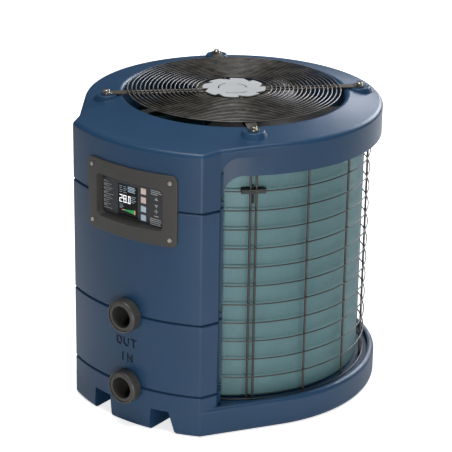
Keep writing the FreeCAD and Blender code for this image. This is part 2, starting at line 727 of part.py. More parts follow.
def control_bezel():
    """Curved frame whose tapered recess ends in a flat seat for the window."""
    inner = FRONT_RADIUS + GASKET
    plate = curved_plate(BEZEL_SIZE, BEZEL_CORNER, inner, inner + BEZEL_THICK)
    edge = [e for e in plate.Edges if e.BoundBox.DiagonalLength > 0 and on_front(e, inner + BEZEL_THICK)]
    plate = plate.makeFillet(BEZEL_THICK / 3, edge)
    shell = recess_form(RECESS_WALL, -inner - BEZEL_THICK).common(front_cylinder(inner + BEZEL_THICK / 2))
    seat_size = [side + 2 * WINDOW_MARGIN for side in WINDOW_OPENING]
    seat = framed_block(seat_size[0], seat_size[1], RECESS_CORNER, WINDOW_Y - RECESS_WALL, WINDOW_Y)
    bezel = plate.fuse(shell).fuse(seat)
    bezel = bezel.cut(recess_form(0, -inner - BEZEL_THICK))
    for hole in panel_screw_holes(BOLT_RADIUS / 2 + FIT / 3):
        bezel = bezel.cut(hole)
    return bezel


def on_front(edge, radius):
    """Whether an edge lies on the front face's curve at a given radius."""
    for vertex in edge.Vertexes:
        away = math.hypot(vertex.Point.x, vertex.Point.y - FRONT_CENTRE_Y)
        if abs(away - radius) > 0.01:
            return False
    return True


def key_openings(grow):
    half = KEY_SIZE / 2 + grow
    return [block(KEY_X - half, KEY_X + half, WINDOW_Y - 1, WINDOW_Y + WINDOW_THICK + 1, z - half, z + half)
            for z in KEY_Z]


def display_window():
    width, height = [side + 2 * WINDOW_MARGIN for side in WINDOW_OPENING]
    plate = framed_block(width, height, RECESS_CORNER, WINDOW_Y, WINDOW_Y + WINDOW_THICK)
    for opening in key_openings(KEY_GAP):
        plate = plate.cut(opening)
    return plate


def display_key(z):
    """Key cap with a flange that holds it behind the window and a stem over its switch."""
    half = KEY_SIZE / 2
    back = WINDOW_Y + WINDOW_THICK + FIT
    cap = block(KEY_X - half, KEY_X + half, WINDOW_Y - KEY_PROUD, back, z - half, z + half)
    edges = [e for e in cap.Edges if e.BoundBox.YMax < WINDOW_Y - KEY_PROUD + 0.1]
    cap = cap.makeFillet(KEY_PROUD / 2, edges)
    wide = half + KEY_FLANGE
    flange = block(KEY_X - wide, KEY_X + wide, back, back + 1.0, z - wide, z + wide)
    stem = cylinder(3.0, 4.0, Vector(KEY_X, back, z), BACK)
    return cap.fuse(flange).fuse(stem)


def lcd_module():
    half_w, half_h = LCD_SIZE[0] / 2, LCD_SIZE[1] / 2
    x, z = LCD_CENTRE
    front = WINDOW_Y + WINDOW_THICK + FIT
    module = block(x - half_w - 3, x + half_w + 3, front, PCB_Y - FIT, z - half_h - 3, z + half_h + 3)
    glass = block(x - half_w, x + half_w, front - 1, front + 0.6, z - half_h, z + half_h)
    return module.cut(glass)


def pcb_corners():
    width, height = WINDOW_OPENING
    return [Vector(PANEL_X + side * (width / 2 - 6), 0, PANEL_Z + level * (height / 2 - 6))
            for side in (-1, 1) for level in (-1, 1)]


def controller_pcb():
    """Display board with a switch behind each key and a connector on its back."""
    width, height = WINDOW_OPENING
    board = framed_block(width, height, RECESS_CORNER / 2, PCB_Y, PCB_Y + PCB)
    front = WINDOW_Y + WINDOW_THICK + FIT + 4.0 + KEY_TRAVEL + FIT
    parts = [board]
    for z in KEY_Z:
        parts.append(block(KEY_X - 3, KEY_X + 3, front, PCB_Y, z - 3, z + 3))
    parts.append(block(PANEL_X - 60, PANEL_X - 40, PCB_Y + PCB, PCB_Y + PCB + 6, PANEL_Z - 8, PANEL_Z + 8))
    board = fused(parts)
    for corner in pcb_corners():
        board = board.cut(cylinder(1.6, 20, corner + BACK * (PCB_Y - 5), BACK))
    return board


def display_housing():
    """Box behind the window that carries the board on four pillars."""
    width, height = [side + 2 * WINDOW_MARGIN for side in WINDOW_OPENING]
    front = WINDOW_Y + WINDOW_THICK
    back = front + HOUSING_DEPTH
    outer = framed_block(width, height, RECESS_CORNER, front, back)
    inner = framed_block(width - 2 * HOUSING_WALL, height - 2 * HOUSING_WALL, RECESS_CORNER - HOUSING_WALL,
                         front - 1, back - HOUSING_WALL)
    pillars = [cylinder(3.5, back - HOUSING_WALL - PCB_Y - PCB + 1, corner + BACK * (PCB_Y + PCB), BACK)
               for corner in pcb_corners()]
    housing = fused([outer.cut(inner)] + pillars)
    cable_hole = cylinder(6.0, 20, Vector(PANEL_X, back - 10, PANEL_Z), BACK)
    return housing.cut(cable_hole)


def bezel_screws():
    """Pan-head screws with a cross recess."""
    screws = []
    for origin, outward in panel_screw_places():
        seat = origin + outward * (FRONT_RADIUS + GASKET + BEZEL_THICK)
        head = cylinder(2.3 * BOLT_RADIUS / 2, 2.6, seat, outward)
        top = [e for e in head.Edges if (e.CenterOfMass - seat - outward * 2.6).Length < 0.1]
        head = head.makeFillet(1.4, top)
        sideways = UP.cross(outward)
        for first, second in ((sideways, UP), (UP, sideways)):
            slot = Part.makeBox(4.4, 0.9, 2.0)
            slot.translate(Vector(-2.2, -0.45, 0))
            placement = FreeCAD.Placement()
            placement.Rotation = FreeCAD.Rotation(first, second * -1, outward, "XZY")
            placement.Base = seat + outward * 1.3
            slot.Placement = placement.multiply(slot.Placement)
            head = head.cut(slot)
        shank = cylinder(BOLT_RADIUS / 2, 18.0, seat - outward * 18.0, outward)
        screws.append(head.fuse(shank))
    return screws


# ---- water unions ---------------------------------------------------------------------------

def union_tail(z):
    """Tailpiece that runs from the union face into the exchanger's port."""
    front = UNION_FACE_Y + UNION_RECESS
    back = VESSEL_Y - math.sqrt(VESSEL_RADIUS ** 2 - TAIL_RADIUS ** 2) - FIT
    centre = Vector(PORT_X, front, z)
    tail = cylinder(TAIL_RADIUS, back - front, centre, BACK)
    flange = cylinder(TAIL_FLANGE_RADIUS, TAIL_FLANGE, centre, BACK)
    rim = [e for e in flange.Edges if e.BoundBox.YMax < front + 0.1 and e.Curve.TypeId == "Part::GeomCircle"]
    flange = flange.makeFillet(1.2, rim)
    return tail.fuse(flange).cut(cylinder(PIPE_RADIUS, 2 * (back - front), centre - BACK * WALL, BACK))


def union_nut(z):
    """Round nut, counterbored over the tailpiece's flange."""
    centre = Vector(PORT_X, UNION_FACE_Y, z)
    nut = cylinder(NUT_RADIUS, NUT_LENGTH, centre, BACK)
    rim = [e for e in nut.Edges if e.BoundBox.YMax < UNION_FACE_Y + 0.1 and e.Curve.TypeId == "Part::GeomCircle"]
    nut = nut.makeFillet(NUT_ROUND * 0.7, rim)
    seat = UNION_RECESS + TAIL_FLANGE + NUT_RUNNING
    nut = nut.cut(cylinder(TAIL_FLANGE_RADIUS + NUT_RUNNING, seat, centre, BACK))
    return nut.cut(cylinder(TAIL_RADIUS + NUT_RUNNING, 2 * NUT_LENGTH, centre, BACK))


# ---- fan guard ------------------------------------------------------------------------------

def strip_underside():
    return PAD_TOP + FIT


def ring_height():
    return strip_underside() + ARM_THICK + GUARD_WIRE + FIT / 2


def guard_rings():
    first, last = GUARD_RING_RADII
    pitch = (last - first) / (GUARD_RINGS - 1)
    return [Part.makeTorus(first + index * pitch, GUARD_WIRE, Vector(0, 0, ring_height()))
            for index in range(GUARD_RINGS)]


def guard_arm(angle):
    """Flat strip out to the bolt, welded over two wires that run in under the rings."""
    low = strip_underside()
    end = ARM_BOLT_RADIUS
    strip = block(ARM_INNER, end, -ARM_WIDTH / 2, ARM_WIDTH / 2, low, low + ARM_THICK)
    strip = strip.fuse(cylinder(ARM_WIDTH / 2, ARM_THICK, Vector(end, 0, low)))
    strip = strip.cut(cylinder(BOLT_RADIUS + FIT, 20, Vector(end, 0, low - 5)))
    wires = [cylinder(ARM_WIRE, ARM_INNER + 14 - HUB_SKIRT_RADIUS - 6,
                      Vector(HUB_SKIRT_RADIUS + 6, side * ARM_WIRE_SPREAD, low + ARM_THICK - ARM_WIRE), ACROSS)
             for side in (-1, 1)]
    arm = fused([strip] + wires)
    arm.rotate(Vector(0, 0, 0), UP, angle)
    return arm


def hexagon(across_flats, height, base):
    corners = [base + polar(across_flats / math.sqrt(3), 60 * index) for index in range(7)]
    return Part.Face(Part.makePolygon(corners)).extrude(Vector(0, 0, height))


def guard_bolts():
    bolts = []
    seat = strip_underside() + ARM_THICK + WASHER
    for angle in ARM_ANGLES:
        spot = polar(ARM_BOLT_RADIUS, angle, seat)
        head = hexagon(HEX_ACROSS_FLATS, HEX_HEIGHT, spot)
        head = head.common(Part.makeCone(HEX_ACROSS_FLATS / 2 + 4, HEX_ACROSS_FLATS / 2 - 0.4, HEX_HEIGHT, spot))
        shank = cylinder(BOLT_RADIUS, INSERT_DEPTH, spot - UP * INSERT_DEPTH)
        bolts.append(head.fuse(shank))
    return bolts


def guard_washers():
    low = strip_underside() + ARM_THICK
    return [tube(WASHER_RADIUS, BOLT_RADIUS + FIT, WASHER, polar(ARM_BOLT_RADIUS, angle, low))
            for angle in ARM_ANGLES]


def guard_inserts():
    low = PAD_TOP - INSERT_DEPTH
    return [tube(INSERT_RADIUS, BOLT_RADIUS + FIT / 6, INSERT_DEPTH, polar(ARM_BOLT_RADIUS, angle, low))
            for angle in ARM_ANGLES]


def mount_top():
    return strip_underside() + ARM_THICK - 2 * ARM_WIRE - FIT / 2


def hub_plate():
    """Bright cover with a saw-tooth rim and three curved slots."""
    low = ring_height() + GUARD_WIRE - HUB_PLATE
    plate = cylinder(HUB_PLATE_RADIUS, HUB_PLATE, Vector(0, 0, low))
    for index in range(HUB_NOTCHES):
        start = 360 * index / HUB_NOTCHES
        outer = HUB_PLATE_RADIUS + 2
        points = [polar(HUB_PLATE_RADIUS - HUB_NOTCH_DEPTH, start, low - 1), polar(outer, start, low - 1),
                  polar(outer, start + 20, low - 1)]
        notch = Part.Face(Part.makePolygon(points + [points[0]])).extrude(UP * (HUB_PLATE + 2))
        plate = plate.cut(notch)
    for index in range(3):
        middle = HUB_SLOT_RADIUS + HUB_SLOT_STEP * index
        slot = ring_sector(middle + HUB_SLOT / 2, middle - HUB_SLOT / 2, 2 * HUB_PLATE, low - HUB_PLATE / 2,
                           40 + 120 * index, 70)
        plate = plate.cut(slot)
    skirt = tube(HUB_SKIRT_RADIUS, HUB_SKIRT_RADIUS - 2, low - mount_top() + 0.5, Vector(0, 0, mount_top()))
    return plate.fuse(skirt)


def motor_mount():
    plate = cylinder(MOUNT_RADIUS, MOUNT_PLATE, Vector(0, 0, mount_top() - MOUNT_PLATE))
    return plate



# ---- fan ------------------------------------------------------------------------------------

def fan_motor():
    """Fixed half of the external-rotor motor: flange, winding block and axle."""
    top = mount_top() - MOUNT_PLATE
    flange = cylinder(STATOR_FLANGE_RADIUS, STATOR_FLANGE, Vector(0, 0, top - STATOR_FLANGE))
    low = ROTOR_BOTTOM + 2 * ROTOR_WALL
    core = cylinder(STATOR_RADIUS, top - STATOR_FLANGE / 2 - low, Vector(0, 0, low))
    axle_low = ROTOR_BOTTOM - 2 * ROTOR_WALL
    axle = cylinder(AXLE_RADIUS, top - axle_low - 1, Vector(0, 0, axle_low))
    groove = tube(AXLE_RADIUS + 1, AXLE_RADIUS - 1.5, 1.6, Vector(0, 0, ROTOR_BOTTOM - 1.6))
    motor = fused([flange, core, axle]).cut(groove)
    return motor


def blade_section(radius, chord, pitch, turn, height):
    """Thin cambered section that stands across the radius."""
    half, rise, thick = chord / 2, BLADE_CAMBER, BLADE_THICK
    upper = Part.Arc(Vector(0, -half, 0), Vector(0, 0, rise + thick), Vector(0, half, 0)).toShape()
    lower = Part.Arc(Vector(0, half, -0.8), Vector(0, 0, rise), Vector(0, -half, -0.8)).toShape()
    front = line(Vector(0, half, 0), Vector(0, half, -0.8))
    rear = line(Vector(0, -half, -0.8), Vector(0, -half, 0))
    wire = Part.Wire([upper, front, lower, rear])
    wire.rotate(Vector(0, 0, 0), ACROSS, pitch)
    wire.translate(Vector(radius, 0, height))
    wire.rotate(Vector(0, 0, 0), UP, turn)
    return wire


def fan_blade(turn):
    middle = (ROTOR_TOP + ROTOR_BOTTOM) / 2 - BLADE_CAMBER / 2
    inner, outer = ROTOR_RADIUS - ROTOR_WALL / 2, BLADE_TIP_RADIUS + 3
    mean = (inner + outer) / 2
    chord = (BLADE_ROOT[0] + BLADE_TIP[0]) / 2
    pitch = (BLADE_ROOT[1] + BLADE_TIP[1]) / 2
    sections = [blade_section(inner, BLADE_ROOT[0], BLADE_ROOT[1], turn, middle),
                blade_section(mean, chord, pitch, turn + BLADE_SWEEP / 3, middle),
                blade_section(outer, BLADE_TIP[0], BLADE_TIP[1], turn + BLADE_SWEEP, middle)]
    blade = Part.makeLoft(sections, True, False)
    swept = tube(BLADE_TIP_RADIUS, ROTOR_RADIUS - ROTOR_WALL / 2, 200, Vector(0, 0, middle - 100))
    return blade.common(swept)


def fan_rotor():
    """Rotor can with five swept blades."""
    can = cylinder(ROTOR_RADIUS, ROTOR_TOP - ROTOR_BOTTOM, Vector(0, 0, ROTOR_BOTTOM))
    bottom = [e for e in can.Edges if e.BoundBox.ZMax < ROTOR_BOTTOM + 0.1]
    can = can.makeFillet(ROTOR_WALL, bottom)
    can = can.cut(cylinder(ROTOR_RADIUS - ROTOR_WALL, ROTOR_TOP, Vector(0, 0, ROTOR_BOTTOM + ROTOR_WALL)))
    hub = cylinder(3 * AXLE_RADIUS, 1.5 * ROTOR_WALL, Vector(0, 0, ROTOR_BOTTOM))
    bore = cylinder(AXLE_RADIUS + AXLE_RUNNING, 40, Vector(0, 0, ROTOR_BOTTOM - 20))
    blades = [fan_blade(360 * index / BLADES) for index in range(BLADES)]
    return fused([can, hub] + blades).cut(bore)


def rotor_clip():
    """Open spring ring that holds the rotor up on its axle."""
    low = ROTOR_BOTTOM - 1.4
    ring = tube(AXLE_RADIUS + 3, AXLE_RADIUS - 1.2, 1.2, Vector(0, 0, low))
    return ring.cut(block(0, 20, -AXLE_RADIUS / 2, AXLE_RADIUS / 2, low - 5, low + 5))



# ---- evaporator -----------------------------------------------------------------------------

def ring_sector(outer, inner, height, z, start, sweep):
    shape = Part.makeCylinder(outer, height, Vector(0, 0, z), UP, sweep)
    shape = shape.cut(Part.makeCylinder(inner, height, Vector(0, 0, z), UP, sweep))
    shape.rotate(Vector(0, 0, 0), UP, start)
    return shape


def coil_sweep():
    return 180 - 2 * COIL_START


def evaporator_coil():
    return ring_sector(COIL_OUTER, COIL_INNER, COIL_TOP - COIL_BOTTOM, COIL_BOTTOM, COIL_START, coil_sweep())


def coil_feet():
    """Rubber strips that keep the coil out of the condensate."""
    low = DECK_TOP
    return [ring_sector(COIL_OUTER - 4, COIL_INNER + 4, COIL_BOTTOM - low, low, angle - 4, 8)
            for angle in COIL_FEET_ANGLES]


def coil_end_plate():
    plate = block(COIL_INNER, COIL_OUTER, -END_PLATE, 0, COIL_BOTTOM, COIL_TOP)
    plate.rotate(Vector(0, 0, 0), UP, COIL_START)
    return plate


def bend_heights():
    return [COIL_BOTTOM + BEND_PITCH * (1.5 + 2 * index) for index in range(BEND_COUNT)]


def coil_end_plates():
    """Plain plate on the right end and a plate drilled for the return bends on the left."""
    right = coil_end_plate()
    left = right
    for z in bend_heights():
        for level in (z - BEND_PITCH / 2, z + BEND_PITCH / 2):
            hole = cylinder(BEND_TUBE + FIT, 2 * WALL, Vector((COIL_OUTER + COIL_INNER) / 2, -WALL, level), BACK)
            hole.rotate(Vector(0, 0, 0), UP, COIL_START)
            left = left.cut(hole)
    return [right, left.mirror(Vector(0, 0, 0), ACROSS)]


def coil_bends():
    """Return bends brazed into the left end plate."""
    middle = (COIL_OUTER + COIL_INNER) / 2
    bends = []
    for z in bend_heights():
        centre = Vector(middle, -END_PLATE, z)
        bend = Part.makeTorus(BEND_PITCH / 2, BEND_TUBE, centre, ACROSS, -180, 180, 180)
        if bend.CenterOfMass.y > -END_PLATE:
            bend = bend.mirror(centre, BACK)
        legs = [cylinder(BEND_TUBE, END_PLATE, centre + UP * level, BACK) for level in (-BEND_PITCH / 2, BEND_PITCH / 2)]
        bend = fused([bend] + legs)
        bend.rotate(Vector(0, 0, 0), UP, COIL_START)
        bends.append(bend.mirror(Vector(0, 0, 0), ACROSS))
    return bends


# ---- wire guard round the coil --------------------------------------------------------------

def cage_rings():
    sweep = 180 - 2 * CAGE_START
    rings = []
    heights = [CAGE_TOP - index * CAGE_PITCH for index in range(CAGE_RINGS)]
    heights.append(DECK_TOP + CAGE_WIRE + FIT / 2)
    for z in heights:
        ring = Part.makeTorus(CAGE_RADIUS, CAGE_WIRE, Vector(0, 0, z), UP, -180, 180, sweep)
        ring.rotate(Vector(0, 0, 0), UP, CAGE_START)
        rings.append(ring)
    return rings


def rod_circle():
    return CAGE_RADIUS - CAGE_WIRE - ROD_RADIUS - FIT / 2


def cage_rods():
    angles = [ROD_FIRST + ROD_PITCH * index for index in range(RODS)] + list(ROD_PAIR)
    low = DECK_TOP + FIT / 2
    return [cylinder(ROD_RADIUS, POST_TOP - low, polar(rod_circle(), angle, low)) for angle in angles]


def coil_posts():
    """Upright strips that the ends of the wire rings butt against."""
    low = DECK_TOP
    depth, width = POST_SIZE
    post = block(CAGE_RADIUS - depth / 2, CAGE_RADIUS + depth / 2, -width, -FIT, low, POST_TOP)
    post.rotate(Vector(0, 0, 0), UP, CAGE_START)
    return [post, post.mirror(Vector(0, 0, 0), ACROSS)]


def sensor_clip():
    """Clip that grips the pair of rods where the top ring crosses them."""
    width, depth, height = CLIP_SIZE
    angle = sum(ROD_PAIR) / 2
    z = CAGE_TOP - height / 2
    inner = rod_circle() - ROD_RADIUS - FIT
    body = block(inner - depth + 2, inner + 2 * ROD_RADIUS + 3, -width / 2, width / 2, z, z + height)
    edges = [e for e in body.Edges if abs(e.Vertexes[0].Z - e.Vertexes[-1].Z) > 1]
    body = body.makeFillet(2.0, edges)
    body = body.cut(cylinder(PROBE_RADIUS + FIT / 3, 3 * height, Vector(inner - 3, 0, z - height)))
    body.rotate(Vector(0, 0, 0), UP, angle)
    for rod in ROD_PAIR:
        body = body.cut(cylinder(ROD_RADIUS + FIT / 3, 2 * height, polar(rod_circle(), rod, z - height / 2)))
    return body.cut(Part.makeTorus(CAGE_RADIUS, CAGE_WIRE + FIT / 3, UP * CAGE_TOP))


def air_sensor():
    angle = sum(ROD_PAIR) / 2
    z = CAGE_TOP - CLIP_SIZE[2] / 2
    inner = rod_circle() - ROD_RADIUS - FIT
    probe = cylinder(PROBE_RADIUS, 40, polar(inner - 3, angle, z - 26))
    tip = [e for e in probe.Edges if e.BoundBox.ZMax < z - 25]
    return probe.makeFillet(PROBE_RADIUS * 0.6, tip)


# ---- refrigerant circuit --------------------------------------------------------------------

def pipe_path(points, bend):
    """Straight runs joined by tangent arcs."""
    edges = []
    start = points[0]
    for index in range(1, len(points) - 1):
        corner = points[index]
        before = (points[index - 1] - corner).normalize()
        after = (points[index + 1] - corner).normalize()
        half_turn = (math.pi - before.getAngle(after)) / 2
        reach = bend * math.tan(half_turn)
        enter, leave = corner + before * reach, corner + after * reach
        centre_way = (before + after).normalize()
        middle = corner + centre_way * (bend / math.cos(half_turn) - bend)
        edges.append(line(start, enter))
        edges.append(Part.Arc(enter, middle, leave).toShape())
        start = leave
    edges.append(line(start, points[-1]))
    return Part.Wire(edges)


def pipe(points, radius, bend, wall=LINE_WALL):
    path = pipe_path(points, bend)
    ahead = (points[1] - points[0]).normalize()
    solids = []
    for size in (radius, radius - wall):
        ring = Part.Wire([Part.Circle(points[0], ahead, size).toShape()])
        solids.append(path.makePipeShell([ring], True, True))
    return solids[0].cut(solids[1])


def exchanger_vessel():
    """Upright shell with a side port for each union."""
    low = DECK_TOP
    shell = cylinder(VESSEL_RADIUS, VESSEL_TOP - low, Vector(PORT_X, VESSEL_Y, low))
    shell = shell.cut(cylinder(VESSEL_RADIUS - VESSEL_WALL, VESSEL_TOP, Vector(PORT_X, VESSEL_Y, low + VESSEL_WALL)))
    for z in PORT_Z:
        shell = shell.cut(cylinder(PIPE_RADIUS, VESSEL_RADIUS + 5, Vector(PORT_X, VESSEL_Y - VESSEL_RADIUS - 5, z), BACK))
        flat = block(PORT_X - TAIL_RADIUS - 10, PORT_X + TAIL_RADIUS + 10, VESSEL_Y - VESSEL_RADIUS - 1,
                     VESSEL_Y - math.sqrt(VESSEL_RADIUS ** 2 - TAIL_RADIUS ** 2), z - TAIL_RADIUS - 1, z + TAIL_RADIUS + 1)
        shell = shell.cut(flat.common(cylinder(TAIL_RADIUS + 1, 40, Vector(PORT_X, VESSEL_Y - VESSEL_RADIUS - 1, z), BACK)))
    return shell


def exchanger_lid():
    centre = Vector(PORT_X, VESSEL_Y, VESSEL_TOP + FIT / 2)
    lid = cylinder(VESSEL_RADIUS + 4, VESSEL_LID, centre)
    top = [e for e in lid.Edges if e.BoundBox.ZMin > VESSEL_TOP + VESSEL_LID - 0.1]
    lid = lid.makeFillet(5.0, top)
    plug = cylinder(VESSEL_RADIUS - VESSEL_WALL - FIT, 6, centre - UP * 5)
    lid = lid.fuse(plug)
    for x in VESSEL_PORTS_X:
        base = Vector(x, VESSEL_Y, VESSEL_TOP + VESSEL_LID - 1)
        lid = lid.fuse(cylinder(VESSEL_STUB, 9, base))
        lid = lid.cut(cylinder(LINE_RADIUS - LINE_WALL, 60, base - UP * 30))
    return lid



def compressor():
    x, y = COMPRESSOR
    low, high = COMPRESSOR_Z
    body = cylinder(COMPRESSOR_RADIUS, high - low, Vector(x, y, low))
    ends = [e for e in body.Edges if e.Curve.TypeId == "Part::GeomCircle"]
    body = body.makeFillet(COMPRESSOR_DOME, ends)
    plate = cylinder(COMPRESSOR_RADIUS - 12, 4, Vector(x, y, low - 3))
    arms = []
    for angle in FEET_ANGLES:
        arm = block(0, FEET_RADIUS, -12, 12, low - 4, low)
        arm = arm.fuse(cylinder(12, 4, Vector(FEET_RADIUS, 0, low - 4)))
        arm = arm.cut(cylinder(5, 20, Vector(FEET_RADIUS, 0, low - 10)))
        arm.rotate(Vector(0, 0, 0), UP, angle)
        arm.translate(Vector(x, y, 0))
        arms.append(arm)
    stub = cylinder(LINE_RADIUS + 2, 18, Vector(x, y, high - 2))
    box = block(x - 22, x + 22, y - COMPRESSOR_RADIUS - 12, y - COMPRESSOR_RADIUS + 14, low + 130, low + 190)
    return fused([body, plate, stub, box] + arms)


def compressor_grommets():
    x, y = COMPRESSOR
    low = DECK_TOP
    top = COMPRESSOR_Z[0] - 4
    return [tube(FOOT_RADIUS, 4.3, top - low, Vector(x, y, low) + polar(FEET_RADIUS, angle)) for angle in FEET_ANGLES]



def accumulator():
    """Suction accumulator with the elbow that carries it off the compressor."""
    low, high = ACCUMULATOR_Z
    y = COMPRESSOR[1]
    body = cylinder(ACCUMULATOR_RADIUS, high - low, Vector(ACCUMULATOR_X, y, low))
    ends = [e for e in body.Edges if e.Curve.TypeId == "Part::GeomCircle"]
    body = body.makeFillet(ACCUMULATOR_RADIUS * 0.6, ends)
    body = body.fuse(cylinder(LINE_RADIUS + 2, 14, Vector(ACCUMULATOR_X, y, high - 2)))
    level = COMPRESSOR_Z[0] + 28
    reach = COMPRESSOR[0] + COMPRESSOR_RADIUS + FIT
    points = [Vector(ACCUMULATOR_X, y, low + 3), Vector(ACCUMULATOR_X, y, level), Vector(reach, y, level)]
    return body.fuse(pipe(points, LINE_RADIUS, 2 * LINE_RADIUS))


def four_way_valve():
    """Reversing valve with its slide sealed inside and a pilot coil alongside."""
    x = COMPRESSOR[0]
    body = cylinder(VALVE_RADIUS, VALVE_LENGTH, Vector(x - VALVE_LENGTH / 2, VALVE_Y, VALVE_Z), ACROSS)
    ends = [e for e in body.Edges if e.Curve.TypeId == "Part::GeomCircle"]
    parts = [body.makeFillet(3.0, ends)]
    for index in (-1, 0, 1):
        parts.append(cylinder(LINE_RADIUS + 2, VALVE_RADIUS + VALVE_STUB,
                              Vector(x + index * VALVE_PORT_PITCH, VALVE_Y, VALVE_Z - VALVE_RADIUS - VALVE_STUB)))
    parts.append(cylinder(LINE_RADIUS + 2, VALVE_RADIUS + VALVE_STUB, Vector(x, VALVE_Y, VALVE_Z), BACK))
    parts.append(block(x - 16, x + 16, VALVE_Y - VALVE_RADIUS - 26, VALVE_Y - VALVE_RADIUS + 4, VALVE_Z - 12, VALVE_Z + 12))
    return fused(parts)


def valve_port(index):
    return Vector(COMPRESSOR[0] + index * VALVE_PORT_PITCH, VALVE_Y, VALVE_Z - VALVE_RADIUS - VALVE_STUB - FIT)


def discharge_pipe():
    x, y = COMPRESSOR
    end = Vector(x, VALVE_Y + VALVE_RADIUS + VALVE_STUB + FIT, VALVE_Z)
    return pipe([Vector(x, y, COMPRESSOR_Z[1] + 16 + FIT), Vector(x, y, VALVE_Z), end], LINE_RADIUS, 3 * LINE_RADIUS)


def suction_pipe():
    port = valve_port(0)
    level = 344.0
    goal = Vector(ACCUMULATOR_X, COMPRESSOR[1], ACCUMULATOR_Z[1] + 12 + FIT)
    points = [port, Vector(port.x, port.y, level), Vector(goal.x, port.y, level),
              Vector(goal.x, goal.y, level), goal]
    return pipe(points, LINE_RADIUS, 3 * LINE_RADIUS)


def lid_port(index):
    return Vector(VESSEL_PORTS_X[index], VESSEL_Y, VESSEL_TOP + VESSEL_LID + 8 + FIT)


def condenser_pipe():
    port, goal = valve_port(1), lid_port(0)
    points = [port, Vector(port.x, port.y, CONDENSER_LEVEL), Vector(goal.x, goal.y, CONDENSER_LEVEL), goal]
    return pipe(points, LINE_RADIUS, 2 * LINE_RADIUS)


def evaporator_pipe():
    port = valve_port(-1)
    level = EVAPORATOR_LEVEL
    header = Vector(HEADER.x, HEADER.y, level)
    turn = Vector(HEADER.x - 20, BULKHEAD_Y + 70, level)
    ahead = (header - turn).normalize()
    points = [port, Vector(port.x, port.y, level), turn, header - ahead * (HEADER_RADIUS + FIT)]
    return pipe(points, LINE_RADIUS, 2 * LINE_RADIUS)


def header_pipe():
    low, high = HEADER_Z
    body = cylinder(HEADER_RADIUS, high - low, Vector(HEADER.x, HEADER.y, low))
    ends = [e for e in body.Edges if e.Curve.TypeId == "Part::GeomCircle"]
    body = body.makeFillet(3.0, ends)
    middle = (COIL_OUTER + COIL_INNER) / 2
    face = polar(middle, COIL_START) + plate_normal() * (END_PLATE + 2.0)
    stubs = []
    for index in range(HEADER_STUBS):
        z = low + (high - low) * (index + 0.5) / HEADER_STUBS
        start = Vector(HEADER.x, HEADER.y, z)
        goal = Vector(face.x, face.y, z)
        stubs.append(cylinder(4.0, (goal - start).Length, start, goal - start))
    return fused([body] + stubs)


def plate_normal():
    """Direction out of the right-hand coil end plate, into the front compartment."""
    angle = math.radians(COIL_START)
    return Vector(math.sin(angle), -math.cos(angle), 0)


def filter_drier():
    low, high = DRIER_Z
    body = cylinder(DRIER_RADIUS, high - low, Vector(DRIER_X, VESSEL_Y, low))
    ends = [e for e in body.Edges if e.Curve.TypeId == "Part::GeomCircle"]
    body = body.makeFillet(8.0, ends)
    necks = cylinder(LINE_RADIUS + 1.5, high - low + 16, Vector(DRIER_X, VESSEL_Y, low - 8))
    return body.fuse(necks)


def liquid_pipe():
    port = lid_port(1)
    goal = Vector(DRIER_X, VESSEL_Y, DRIER_Z[1] + 8 + FIT)
    points = [port, Vector(port.x, port.y, CONDENSER_LEVEL), Vector(goal.x, goal.y, CONDENSER_LEVEL), goal]
    return pipe(points, LINE_RADIUS, 2 * LINE_RADIUS)


def expansion_valve():
    low, high = EXPANSION_Z
    body = cylinder(11.0, high - low, Vector(DRIER_X, VESSEL_Y, low))
    neck = cylinder(LINE_RADIUS + 1.5, DRIER_Z[0] - 8 - FIT - high + 1, Vector(DRIER_X, VESSEL_Y, high - 1))
    power = cylinder(5.0, 24.0, Vector(DRIER_X, VESSEL_Y, (low + high) / 2), Vector(0, -1, 0))
    head = cylinder(15.0, 8.0, Vector(DRIER_X, VESSEL_Y - 22, (low + high) / 2), Vector(0, -1, 0))
    return fused([body, neck, power, head])


def distributor_pipe():
    """From the expansion valve to the foot of the coil's end plate."""
    low = COIL_BOTTOM + 22.0
    middle = polar((COIL_OUTER + COIL_INNER) / 2, COIL_START, low)
    normal = plate_normal()
    goal = middle + normal * (END_PLATE + FIT)
    points = [Vector(DRIER_X, VESSEL_Y, EXPANSION_Z[0] - FIT), Vector(DRIER_X, VESSEL_Y, low),
              middle + normal * 38, goal]
    return pipe(points, 5.0, 10.0)


# ---- bulkhead and electrics -----------------------------------------------------------------

def bulkhead():
    """Steel sheet between the front compartment and the air path."""
    sheet = block(-BULKHEAD_HALF_WIDTH, BULKHEAD_HALF_WIDTH, BULKHEAD_Y, BULKHEAD_Y + BULKHEAD, DECK_TOP, BAY_TOP - FIT)
    port, goal = valve_port(1), lid_port(0)
    share = (BULKHEAD_Y - port.y) / (goal.y - port.y)
    crossings = [Vector(port.x + share * (goal.x - port.x), BULKHEAD_Y - 5, CONDENSER_LEVEL)]
    turn_y = BULKHEAD_Y + 70
    share = (BULKHEAD_Y - turn_y) / (HEADER.y - turn_y)
    crossings.append(Vector(HEADER.x - 20 + share * 20, BULKHEAD_Y - 5, EVAPORATOR_LEVEL))
    for spot in crossings:
        sheet = sheet.cut(cylinder(LINE_RADIUS + 4, 12, spot, BACK))
    return sheet


def electrical_box():
    """Open tray fixed to the bulkhead."""
    (x0, x1), (z0, z1) = BOX_X, BOX_Z
    back = BULKHEAD_Y - FIT
    outer = block(x0, x1, back - BOX_DEPTH, back, z0, z1)
    inner = block(x0 + BOX_SHEET, x1 - BOX_SHEET, back - BOX_DEPTH - 1, back - BOX_SHEET, z0 + BOX_SHEET, z1 - BOX_SHEET)
    entries = [cylinder(10, 20, Vector(x, back - BOX_DEPTH / 2, z0 - 5)) for x in (x0 + 40, x1 - 40)]
    box = outer.cut(inner)
    for entry in entries:
        box = box.cut(entry)
    return box


